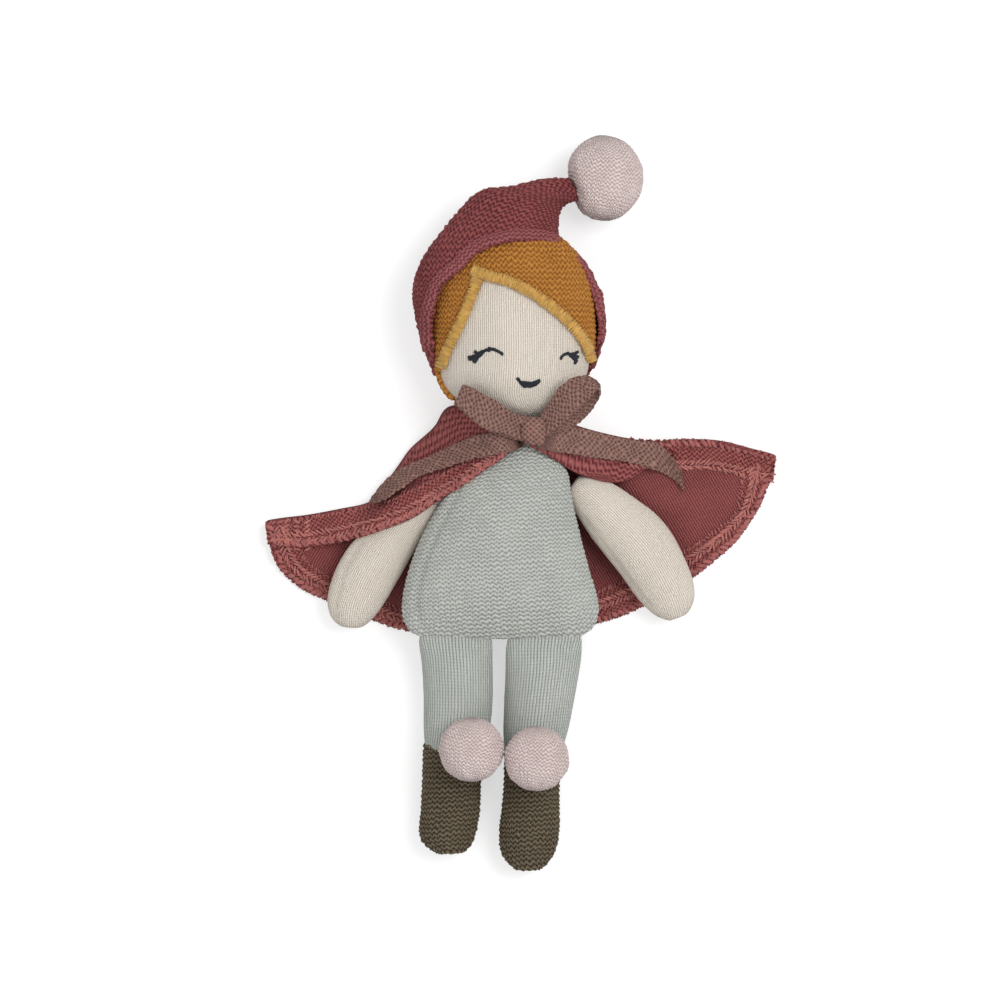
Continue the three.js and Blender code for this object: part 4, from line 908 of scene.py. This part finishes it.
for name, lines in faceLines.items():
    stitches = []
    for line in lines:
        for place, direction in walk(outlineOf(line), floss["pitch"] * mm):
            for strand in (-1, 0, 1):
                off = strand * floss["apart"] + random.uniform(-0.1, 0.1)
                aside = Vector((-direction.y, direction.x, 0)) * off * mm
                spot = place.to_3d() + aside
                z, normal = topOf(faceTop, spot, 0.03)
                spot.z = z + (0.24 if strand == 0 else 0.12) * mm
                turn = Matrix.Rotation(math.radians(random.uniform(-14, 14)), 3, "Z")
                along = turn @ direction.to_3d()
                along = (along - normal * along.dot(normal)).normalized()
                stitches.append((spot, along, normal, floss["length"] * mm * random.uniform(0.85, 1.1),
                                 floss["width"] * mm * 0.8, floss["height"] * mm))
    threadRun(f"{name}_thread", stitches, "navyThread", "head", (name,))
print("hairline and face stitches are made")

# ---- hat

hatForm = {
    "cap": 0.9,
    "sections": [
        [437, 382, 588, 378, 18.4, 15.6], [428, 362, 596, 358, 18.4, 17.2], [420, 340, 603, 336, 18.5, 18.4],
        [415, 318, 603, 316, 18.6, 19.0], [412, 296, 598, 292, 18.7, 19.1], [415, 274, 587, 268, 18.7, 18.4],
        [427, 250, 573, 252, 18.6, 16.4], [442, 230, 560, 240, 18.3, 13.2], [457, 212, 559, 228, 18.0, 10.8],
        [480, 190, 560, 214, 17.6, 9.0], [510, 186, 564, 206, 16.6, 7.2], [540, 178, 568, 203, 15.4, 5.4],
        [560, 177, 573, 202, 14.4, 4.2], [571, 177, 580, 200, 13.6, 3.4]],
    "steps": 4, "relief": 0.45,
    "cut": {"above": 0.0187, "end": 0.0385, "nearEnd": 0.0402, "reach": 0.0018},
}
faceOpening = [[433, 420], [433, 352], [432, 325], [437, 299], [446, 283], [462, 270], [474, 257], [486, 250],
               [505, 244], [524, 242], [543, 243], [558, 248], [572, 258], [583, 273], [592, 289], [598, 310],
               [601, 328], [598, 350], [590, 372], [588, 420]]
hatRows = smoothRows(hatForm["sections"], hatForm["steps"])
hat = loft("hat_knit", hatRows)
hatRest = stuff(hat, hatForm["cap"])
setWeave(hat, alongForm(hatRows, hatRest), "hatKnit")
hat.data.materials.append(materials["hatKnit"])
opening = outlineOf(faceOpening)
opening.append(opening[0])
shape = bmesh.new()
shape.from_mesh(hat.data)
for vertex in shape.verts:
    vertex.co.z = max(vertex.co.z, 0.0001)
cut = hatForm["cut"]
gone = [v for v in shape.verts
        if (v.co.z > cut["above"] and inOutline(v.co.to_2d(), opening)) or v.co.y < cut["end"]]
bmesh.ops.delete(shape, geom=gone, context="VERTS")
for vertex in shape.verts:
    if vertex.is_boundary:
        if vertex.co.y < cut["nearEnd"]:
            vertex.co.y = cut["end"]
        else:
            spot, gap = nearestOn(vertex.co.to_2d(), opening)
            if gap < cut["reach"]:
                vertex.co.x, vertex.co.y = spot
shape.to_mesh(hat.data)
shape.free()
thicken(hat, 1.1)
smoothed(hat, 1)
knitRelief(hat, "hatKnit", hatForm["relief"])
handOver(hat, ["hat_body", "hat_tip"])
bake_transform(hat)

hatBall = {"centre": (604.5, 177), "height": 11.7, "radius": 11.7, "seed": 5, "tall": 1.09}
yarnBall("hat_ball", hatBall, "hat_ball", ("hat_ball_cover", "hat_ball_filling"), flatAt=0.0,
         gather=Vector((-0.93, -0.25, 0.2)).normalized())

brim = {"width": 4.3, "rise": 1.1, "steps": 7}


def makeBrim():  # the turned hem round the face: a rounded band that lies on the hat's edge
    line = outlineOf(faceOpening[1:-1])
    hatTop = surfaceOf(hat, head)
    shape = bmesh.new()
    places = []
    marks = marksOf(line)
    for vertex, index, row in gridOf(shape, len(line) - 1, brim["steps"]):
        share = row / brim["steps"]
        ahead = line[min(index + 1, len(line) - 1)] - line[max(index - 1, 0)]
        outward = Vector((-ahead.y, ahead.x)).normalized()
        spot = line[index] + outward * brim["width"] * mm * (share - 0.12)
        z, normal = topOf(hatTop, spot, None)
        if z is None:
            near = hatTop.find_nearest(Vector((spot.x, spot.y, 0.02)))
            base, normal = near[0], near[1]
        else:
            base = Vector((spot.x, spot.y, z))
        rounded = math.sin(math.pi * min(1, max(0, share * 0.94 + 0.03))) ** 0.55
        wobble = 0.25 * noise.noise(Vector((marks[index] * 700, share * 3, 2)))
        vertex.co = base + normal * (brim["rise"] * rounded - 0.25 + wobble * rounded) * mm
        places.append((marks[index], share * brim["width"] * mm, 0))
    bmesh.ops.recalc_face_normals(shape, faces=shape.faces)
    piece = objectOf("hat_hem", shape, "brimKnit")
    setWeave(piece, places, "brimKnit")
    thicken(piece, 0.9)
    smoothed(piece, 1)
    knitRelief(piece, "brimKnit", 0.35)
    handOver(piece, ["hat_brim"], "head")


makeBrim()
print("hat is made")

# ---- cape: one sheet of two folded fronts and a back

cape = {
    "left": [[489, 418], [470, 408], [449, 405], [441, 415], [436, 425], [424, 436], [410, 448],
             [401, 461], [391, 475],
             [382, 486], [370, 502], [339, 509], [307, 515], [282, 518], [264, 521]],
    "right": [[547, 418], [560, 420], [585, 428], [620, 436], [656, 441], [682, 439], [721, 441],
              [749, 448], [777, 455]],
    "neck": [[489, 418], [495, 436], [518, 446], [541, 436], [547, 418]],
    "hem": [[264, 521], [269, 544], [277, 567], [294, 585], [311, 594], [328, 601], [350, 611],
            [389, 626], [430, 634],
            [480, 639], [530, 638], [566, 632], [594, 626], [619, 618], [640, 609], [668, 595], [692, 580],
            [721, 556], [746, 531], [757, 514], [766, 496], [773, 476], [777, 455]],
    "frontLeft": [[514, 444], [505, 457], [487, 469], [468, 482], [440, 500], [412, 519], [380, 531],
                  [345, 541],
                  [307, 548], [282, 546], [269, 544]],
    "frontRight": [[527, 446], [548, 456], [575, 473], [594, 479], [611, 483], [628, 481], [645, 470],
                   [662, 456],
                   [690, 446], [721, 444], [749, 450], [777, 458]],
    "columns": (18, 60, 8), "rows": 34, "thickness": 1.2,
    "overBack": 2.1, "overBody": 1.0, "collar": 25.2, "collarSlope": 0.9, "rounds": 50, "sag": 0.06,
}
neckMiddle = plan(521.5, 437)


def evenly(points, count):
    line = [p.to_3d() for p in outlineOf(points)]
    marks = marksOf(line)
    spots = []
    index = 0
    for step in range(count + 1):
        mark = marks[-1] * step / count
        while index < len(marks) - 2 and marks[index + 1] < mark:
            index += 1
        span = marks[index + 1] - marks[index]
        spots.append(line[index].lerp(line[index + 1], (mark - marks[index]) / span if span else 0))
    return spots


folds = {
    "spine": [(521, 450), (500, 620)], "bodyWide": 28, "armWide": 8, "grow": 14,
    "waves": [(0.9, 9, 0.6), (0.5, 23, 2)], "uneven": 0.5,
    "crease": [(628, 478), (652, 505), (692, 500)], "creaseHigh": 2.4, "creaseWide": 4.5,
    "collar": 8.2, "collarFrom": 8, "collarOver": 15, "under": 0.62,
}


def offLine(spot, points):
    return nearestOn(spot.to_2d(), [plan(*point).to_2d() for point in points], False)[1]


def capeBackHeight(spot):  # the folds fan out beyond the arms, and the cloth climbs to the neck
    offBody = offLine(spot, folds["spine"]) - folds["bodyWide"] * mm
    offArms = [nearestOn(spot.to_2d(), line, False)[1] - folds["armWide"] * mm for line in armLines.values()]
    free = max(0, min(1, min(offBody, *offArms) / (folds["grow"] * mm)))
    fan = math.atan2(spot.y - 0.02, spot.x)
    fold = 0
    for high, count, shift in folds["waves"]:
        fold += high * free * (0.5 + 0.5 * math.sin(fan * count + shift))
    fold += folds["uneven"] * free * (0.5 + noise.noise(spot * 55))
    offCrease = offLine(spot, folds["crease"]) / (folds["creaseWide"] * mm)
    fold += folds["creaseHigh"] * math.exp(-offCrease ** 2)
    fromNeck = math.hypot(spot.x - neckMiddle.x, (spot.y - neckMiddle.y) * 1.3) / mm
    rise = 1 - max(0, min(1, (fromNeck - folds["collarFrom"]) / folds["collarOver"]))
    return max(fold, (rise * rise * (3 - 2 * rise)) * folds["collar"]) + folds["under"]


armLines = {
    side: [((plan(a, b) + plan(c, d)) / 2).to_2d() for a, b, c, d, _, _ in armForms[side]["sections"]]
    for side in ("left", "right")
}


def makeCape():
    leftColumns, backColumns, rightColumns = cape["columns"]
    rows = cape["rows"]
    left, right = evenly(cape["left"], rows), evenly(cape["right"], rows)
    neckEdge, hemEdge = evenly(cape["neck"], backColumns), evenly(cape["hem"], backColumns)
    frontLeft, frontRight = evenly(cape["frontLeft"], rows), evenly(cape["frontRight"], rows)
    columns = leftColumns + backColumns + rightColumns
    leftMarks, rightMarks = marksOf(left), marksOf(right)
    body = surfaceOf(torso, arms["left"], arms["right"], neck)

    def backPlace(column, row):
        u, v = column / backColumns, row / rows
        spot = neckEdge[column] * (1 - v) + hemEdge[column] * v + left[row] * (1 - u) + right[row] * u
        corners = (neckEdge[0] * (1 - u) + neckEdge[-1] * u) * (1 - v)
        return spot - (corners + (hemEdge[0] * (1 - u) + hemEdge[-1] * u) * v)

    places, flats = {}, {}
    for row in range(rows + 1):
        for column in range(columns + 1):
            if column < leftColumns:
                share = 1 - column / leftColumns
                fold, edge = left[row], frontLeft[row]
                mark = leftMarks[row]
            elif column > leftColumns + backColumns:
                share = (column - leftColumns - backColumns) / rightColumns
                fold, edge = right[row], frontRight[row]
                mark = rightMarks[row]
            else:
                spot = backPlace(column - leftColumns, row)
                spot.z = capeBackHeight(spot) * mm
                places[column, row] = spot
                flats[column, row] = turned((abs(spot.x + 0.002), spot.y), cloths["capeInside"]["turn"])
                continue
            spot = fold.lerp(edge, share)
            low = capeBackHeight(spot) * mm + cape["overBack"] * mm
            top, _ = topOf(body, spot, 0)
            fromNeck = math.hypot(spot.x - neckMiddle.x, spot.y - neckMiddle.y) / mm
            collar = (cape["collar"] - max(0, fromNeck - 8) * cape["collarSlope"]) * mm
            spot.z = max(low, top + cape["overBody"] * mm if top else 0, collar)
            places[column, row] = spot
            flats[column, row] = (mark, (spot - fold).length, 0)
    floorAt = {key: spot.z for key, spot in places.items()}
    flaps = [key for key in places if key[0] < leftColumns or key[0] > leftColumns + backColumns]
    for _ in range(cape["rounds"]):  # the fronts hang between what holds them up
        for column, row in flaps:
            around = ((column - 1, row), (column + 1, row), (column, row - 1), (column, row + 1))
            near = [places[key].z for key in around if key in places]
            places[column, row].z = max(floorAt[column, row], sum(near) / len(near) - cape["sag"] * mm)
    for row in range(rows + 1):  # the two folds are rounded, not creased
        for column, inward in ((leftColumns, -1), (leftColumns + backColumns, 1)):
            places[column, row].z = (places[column + inward, row].z + places[column - inward, row].z) / 2

    shape = bmesh.new()
    weave = []
    for vertex, column, row in gridOf(shape, columns, rows):
        vertex.co = places[column, row]
        weave.append(flats[column, row])
    bmesh.ops.reverse_faces(shape, faces=shape.faces)
    piece = objectOf("cape_knit_sheet", shape, "capeInside")
    piece.data.materials.append(materials["capeOutside"])
    setWeave(piece, weave)
    wall = thicken(piece, cape["thickness"], 0)
    wall.material_offset = 1
    wall.material_offset_rim = 0
    smoothed(piece, 1)
    settle(piece)
    for vertex in piece.data.vertices:
        vertex.co.z = max(vertex.co.z, 0.00002)
    return piece, places


capePiece, capeGrid = makeCape()
handOver(capePiece, ["cape_back", "cape_front_left", "cape_front_right"])
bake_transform(capePiece)
print("cape is made")

# ---- the cape's hems: a second layer along each edge, puckered by its cover-stitching

capeTop = surfaceOf(capePiece)
hems = {
    "right": {
        "outer": [[778, 458], [774, 476], [767, 496], [758, 514], [747, 531], [737, 544], [722, 557],
                  [708, 569],
                  [693, 580], [668, 596], [640, 610], [619, 619], [594, 626], [570, 633]],
        "inner": [[741, 470], [741, 486], [739, 499], [736, 511], [728, 520], [721, 526], [699, 540],
                  [682, 550],
                  [660, 562], [640, 572], [623, 580], [600, 589], [580, 596], [560, 602]],
        "braid": 0.55, "blend": False},
    "top": {
        "outer": [[630, 438], [656, 440], [682, 438], [721, 440], [749, 447], [763, 451], [778, 455]],
        "inner": [[630, 466], [656, 470], [685, 471], [707, 471], [724, 473], [742, 477], [758, 481],
                  [775, 484]],
        "braid": 0.82, "blend": False},
    "bottom": {
        "outer": [[264, 526], [268, 545], [276, 568], [294, 586], [311, 596], [328, 603], [350, 613],
                  [389, 628],
                  [415, 634]],
        "inner": [[292, 526], [298, 545], [307, 560], [321, 570], [335, 578], [352, 586], [370, 595],
                  [396, 606],
                  [420, 612]],
        "braid": 0.5, "blend": True},
    "front": {
        "outer": [[512, 447], [505, 458], [487, 470], [468, 483], [440, 501], [412, 520], [380, 532],
                  [345, 542],
                  [307, 549], [284, 547], [266, 545]],
        "inner": [[498, 436], [486, 446], [472, 456], [452, 467], [428, 480], [404, 491], [376, 503],
                  [341, 509],
                  [307, 515], [284, 518], [263, 521]],
        "braid": 0.34, "blend": True},
}
hemShape = {"step": 0.45, "pucker": 2.7, "across": 9, "rope": 1.9,
            "profile": [-1.0, -0.15, 0.45, 0.75, 0.8, 0.75, 0.72, 0.7, 0.62, -0.2]}
hemThreads = {  # size is length, width and height
    "braid": {"lean": 38, "size": (3.0, 0.7, 0.75), "lift": 0.12},
    "rope": {"lean": 50, "size": (2.9, 1.35, 1.2), "lift": -0.2},
    "tack": {"lean": -60, "size": (1.7, 0.6, 0.5), "lift": 0.05},
}


def capeSpot(spot):
    z, normal = topOf(capeTop, spot, None)
    if z is None:
        near = capeTop.find_nearest(Vector((spot.x, spot.y, 0.01)))
        return near[0].z, up
    return z, normal


def finishCape(piece, bends):
    if bends:
        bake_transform(piece)
    else:
        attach(piece, "torso")


def makeHem(name, hem):
    length = marksOf([plan(*p) for p in hem["outer"]])[-1]
    count = round(length / (hemShape["step"] * mm))
    outer, inner = evenly(hem["outer"], count), evenly(hem["inner"], count)
    marks = marksOf(outer)
    across = hemShape["across"]
    shape = bmesh.new()
    weave = []
    for vertex, column, row in gridOf(shape, across, count):
        share = (column / across) ** 1.35
        uneven = 1.5 * noise.noise(outer[row] * 90)
        pucker = math.sin(math.tau * marks[row] / (hemShape["pucker"] * mm) + uneven)
        outward = (outer[row] - inner[row]).normalized()
        spot = outer[row].lerp(inner[row], share) + outward * (0.16 * pucker * (1 - share) ** 2) * mm
        spot += outward * 0.5 * noise.noise(spot * 400) * mm * share ** 6
        z, _ = capeSpot(spot)
        bulge = 0.28 * pucker * (1 - share) + 0.25 * noise.noise(spot * 260)
        spot.z = max(z + (hemShape["profile"][column] + bulge * min(1, column)) * mm, 0.05 * mm)
        vertex.co = spot
        weave.append((marks[row], share * (outer[row] - inner[row]).length, 0))
    bmesh.ops.recalc_face_normals(shape, faces=shape.faces)
    if sum(face.normal.z for face in shape.faces) < 0:
        bmesh.ops.reverse_faces(shape, faces=shape.faces)
    piece = objectOf(f"cape_hem_{name}", shape, "hemKnit")
    setWeave(piece, weave, "hemKnit")
    thicken(piece, 0.5)
    smoothed(piece, 1)
    knitRelief(piece, "hemKnit", 0.5)
    finishCape(piece, hem["blend"])
    hemTop = surfaceOf(piece, capePiece)

    def strand(row, share, kind, sign=1):  # one length of thread on the hem
        thread = hemThreads[kind]
        spot = outer[row].lerp(inner[row], share)
        along = (outer[row + 1] - outer[row - 1]).normalized()
        aside = up.cross(along) if up.cross(along).dot(inner[row] - outer[row]) > 0 else along.cross(up)
        lean = math.radians(sign * thread["lean"] + random.uniform(-11, 11))
        direction = along * math.cos(lean) + aside * math.sin(lean)
        near = hemTop.find_nearest(Vector((spot.x, spot.y, capeSpot(spot)[0] + 0.001)))
        normal = near[1] if near[1].z > 0 else up
        place = near[0] + normal * thread["lift"] * mm
        direction = (direction - normal * direction.dot(normal)).normalized()
        extents = [size * random.uniform(0.88, 1.12) * mm for size in thread["size"]]
        return (place, direction, normal, *extents)

    wide = (outer[count // 2] - inner[count // 2]).length
    braid = [strand(row, hem["braid"] + sign * 0.9 * mm / wide, "braid", sign)
             for row in range(2, count - 1, 3) for sign in (-1, 1)]
    finishCape(threadRun(f"cape_braid_{name}", braid, "coverThread"), hem["blend"])
    ropePitch = round(hemShape["rope"] / hemShape["step"])
    rope = [strand(row, 1.25 * mm / wide, "rope") for row in range(2, count - 1, ropePitch)]
    rope += [strand(row, 0.93, "tack") for row in range(2, count - 1, 3)]
    finishCape(threadRun(f"cape_edge_{name}", rope, "hemThread"), hem["blend"])


for name, hem in hems.items():
    makeHem(name, hem)
print("cape hems are made")

# ---- ribbon: tape strips from pairs of edge points [x, y, z, x, y, z]


def tapeRelief(piece):
    # the holes of the tape's knit sink in, and all of it is a little uneven
    sizes = cloths["ribbonTape"]["sizes"]
    weave, flat, normals = readWeave(piece)
    for index, vertex in enumerate(piece.data.vertices):
        place = Vector(flat[3 * index:3 * index + 2] + [0])
        flat[3 * index] += noise.noise(place * 330) * 0.7 * mm
        flat[3 * index + 1] += noise.noise(place * 330 + Vector((5, 1, 3))) * 0.9 * mm
        mesh = math.cos(math.pi * flat[3 * index] / sizes["Rib"])
        mesh *= math.cos(math.pi * flat[3 * index + 1] / sizes["Row"])
        vertex.co += normals[index] * (0.09 * mesh + 0.3 * noise.noise(vertex.co * 700)) * mm
    weave.data.foreach_set("vector", flat)


def tapeStrip(name, rows, nodes, body="torso", lift=None, width=7.4, steps=7, across=12):
    rows = smoothRows(rows, steps)
    edges = [(plan(r[0], r[1], r[2]), plan(r[3], r[4], r[5])) for r in rows]
    marks = marksOf([(a + b) / 2 for a, b in edges])
    shape = bmesh.new()
    places = []
    for vertex, column, index in gridOf(shape, across, len(edges) - 1):
        share = column / across
        spot = edges[index][0].lerp(edges[index][1], share)
        if lift is not None:
            around = [Vector((x, y, 0)) * mm for x in (-1.5, 0, 1.5) for y in (-1.5, 0, 1.5)]
            near = [topOf(lift, spot + off, 0.001)[0] for off in around]
            spot.z = max(max(near) + 0.7 * mm, spot.z)
        vertex.co = spot
        places.append(((share - 0.5) * width * mm, marks[index], 0))
    bmesh.ops.recalc_face_normals(shape, faces=shape.faces)
    piece = objectOf(name, shape, "ribbonTape")
    setWeave(piece, places, "ribbonTape")
    thicken(piece, 0.6, 0)
    smoothed(piece, 1)
    tapeRelief(piece)
    handOver(piece, nodes, body)
    return piece


capeTop = surfaceOf(capePiece, torso, bpy.data.objects["cape_hem_front"], bpy.data.objects["cape_hem_top"])
tails = {
    "left": [[528, 429, 27, 524, 446, 27], [508, 433, 0, 512, 452, 0], [482, 434, 0, 490, 456, 0],
             [461, 441, 0, 470, 460, 0], [445, 448, 0, 451, 466, 0], [430, 456, 0, 434, 471, 0],
             [401, 468, 0, 417, 478, 0], [384, 481, 0, 399, 490, 0], [374, 493, 0, 385, 499, 0],
             [369, 501, 0, 374, 504, 0]],
    "right": [[538, 424, 28, 534, 447, 28], [556, 426, 0, 552, 452, 0], [575, 427, 0, 568, 454, 0],
              [602, 433, 0, 602, 459, 0], [625, 438, 0, 622, 461, 0], [643, 441, 0, 640, 465, 0],
              [657, 442, 0, 661, 472, 0], [672, 455, 0, 676, 481, 0], [684, 474, 0, 686, 492, 0]],
}
tailLeft = tapeStrip("ribbon_end_left", tails["left"], ("ribbon_tail_left",), body=None, lift=capeTop)
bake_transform(tailLeft)
tapeStrip("ribbon_end_right", tails["right"], ("ribbon_tail_right",), lift=capeTop)

loops = {
    "left": [[527, 417, 29.5, 522, 441, 29.0], [513, 413, 32.0, 503, 434, 31.0],
             [495, 401, 35.5, 484, 429, 33.5],
             [480, 393, 37.0, 470, 418, 35.0], [468, 386, 37.0, 458, 407, 35.0],
             [464, 386, 35.5, 455, 406, 33.5],
             [468, 388, 33.6, 459, 409, 32.0], [482, 396, 32.5, 473, 421, 31.0],
             [500, 407, 31.0, 489, 432, 30.0],
             [515, 416, 29.8, 508, 438, 29.0], [526, 420, 29.0, 521, 441, 28.6]],
    "right": [[541, 415, 29.5, 545, 437, 29.0], [549, 403, 32.0, 563, 424, 31.5],
              [560, 387, 35.0, 577, 410, 34.5],
              [574, 378, 37.0, 589, 399, 36.5], [588, 377, 38.5, 598, 391, 37.5],
              [598, 384, 37.0, 599, 397, 34.0],
              [596, 390, 34.5, 595, 405, 31.5], [587, 398, 32.5, 588, 415, 30.0],
              [573, 409, 31.0, 576, 425, 29.0],
              [558, 419, 30.0, 558, 432, 28.6], [543, 423, 29.0, 545, 438, 28.4]],
}
tapeStrip("bow_loop_tape_left", loops["left"], ("bow_loop_left",))
tapeStrip("bow_loop_tape_right", loops["right"], ("bow_loop_right",))

knotForm = {
    "cap": 0.3, "floor": 25.8,
    "sections": [[527, 417, 539, 417, 29.2, 1.6], [522, 421, 545, 420, 29.4, 2.8],
                 [520, 428, 546, 427, 29.6, 3.3],
                 [520, 436, 546, 436, 29.4, 3.2], [523, 442, 544, 443, 29.2, 2.6],
                 [527, 445, 540, 446, 29.0, 1.5]],
}
knot = loft("bow_knot_tape", smoothRows(knotForm["sections"], 4))
remesh(knot, 0.8 * mm)
setWeave(knot, [(v.co.x, v.co.y, 0) for v in knot.data.vertices])
knot.data.materials.append(materials["ribbonTape"])
smoothed(knot, 1)
handOver(knot, ["bow_knot"], "torso")

band = {"middle": (521.5, 430, 16.8), "wide": 9.9, "deep": 8.8, "tall": 7.4}


def makeNeckBand():
    middle = plan(*band["middle"])
    shape = bmesh.new()
    bmesh.ops.create_cone(shape, cap_ends=False, segments=48, radius1=1, radius2=1, depth=1)
    places = []
    for vertex in shape.verts:
        turn = math.atan2(vertex.co.y, vertex.co.x)
        places.append((vertex.co.z * band["tall"] * mm, turn * 9.4 * mm, 0))
        x, y, z = vertex.co
        vertex.co = middle + Vector((x * band["wide"], z * band["tall"], y * band["deep"])) * mm
    bmesh.ops.recalc_face_normals(shape, faces=shape.faces)
    piece = objectOf("neck_band_tape", shape, "ribbonTape")
    setWeave(piece, places)
    thicken(piece, 0.7)
    smoothed(piece, 1)
    handOver(piece, ["neck_ribbon"], "torso")


makeNeckBand()

# ---- small stitches that hold the knot, and the close block of stitches at the cape's left corner


def flatLean(degrees, normal):  # a direction in plan, laid on the surface
    lean = math.radians(degrees)
    along = Vector((math.cos(lean), math.sin(lean), 0))
    return (along - normal * along.dot(normal)).normalized()


knotTop = surfaceOf(knot)
knotStitches = {"places": [[527, 424], [532, 427], [538, 425], [529, 432], [536, 434], [531, 439],
                           [539, 440]],
                "length": 1.3, "width": 0.34, "lean": 40}
stitches = []
for index, (px, py) in enumerate(knotStitches["places"]):
    spot = plan(px, py)
    spot.z, normal = topOf(knotTop, spot, 0.03)
    along = flatLean(knotStitches["lean"] * (-1) ** index + random.uniform(-15, 15), normal)
    stitches.append((spot, along, normal, knotStitches["length"] * mm, *[knotStitches["width"] * mm] * 2))
threadRun("bow_knot_thread", stitches, "coverThread", "torso")

cornerBlock = {"left": 285, "right": 306, "top": 522, "bottom": 556, "pitch": 1.35, "rows": 3, "length": 2.6,
               "width": 0.75, "lean": 30}
under = ("cape_hem_front", "cape_hem_bottom", "cape_knit_sheet")
cornerTop = surfaceOf(*[bpy.data.objects[name] for name in under])
stitches = []
start, end = [plan(cornerBlock[side], cornerBlock["top"]) for side in ("left", "right")]
ahead = plan(cornerBlock["left"], cornerBlock["bottom"]) - start
for row in range(int(ahead.length / (cornerBlock["pitch"] * mm))):
    for column in range(cornerBlock["rows"]):
        spot = start + ahead * (row * cornerBlock["pitch"] * mm / ahead.length)
        spot.x += (end.x - start.x) * column / (cornerBlock["rows"] - 1)
        spot.z, normal = topOf(cornerTop, spot, 0.004)
        along = flatLean(cornerBlock["lean"] * (-1) ** column + random.uniform(-14, 14), normal)
        stitches.append((spot + normal * 0.15 * mm, along, normal, cornerBlock["length"] * mm,
                         *[cornerBlock["width"] * mm] * 2))
finishCape(threadRun("cape_corner_thread", stitches, "coverThread"), True)
print("ribbon is made")
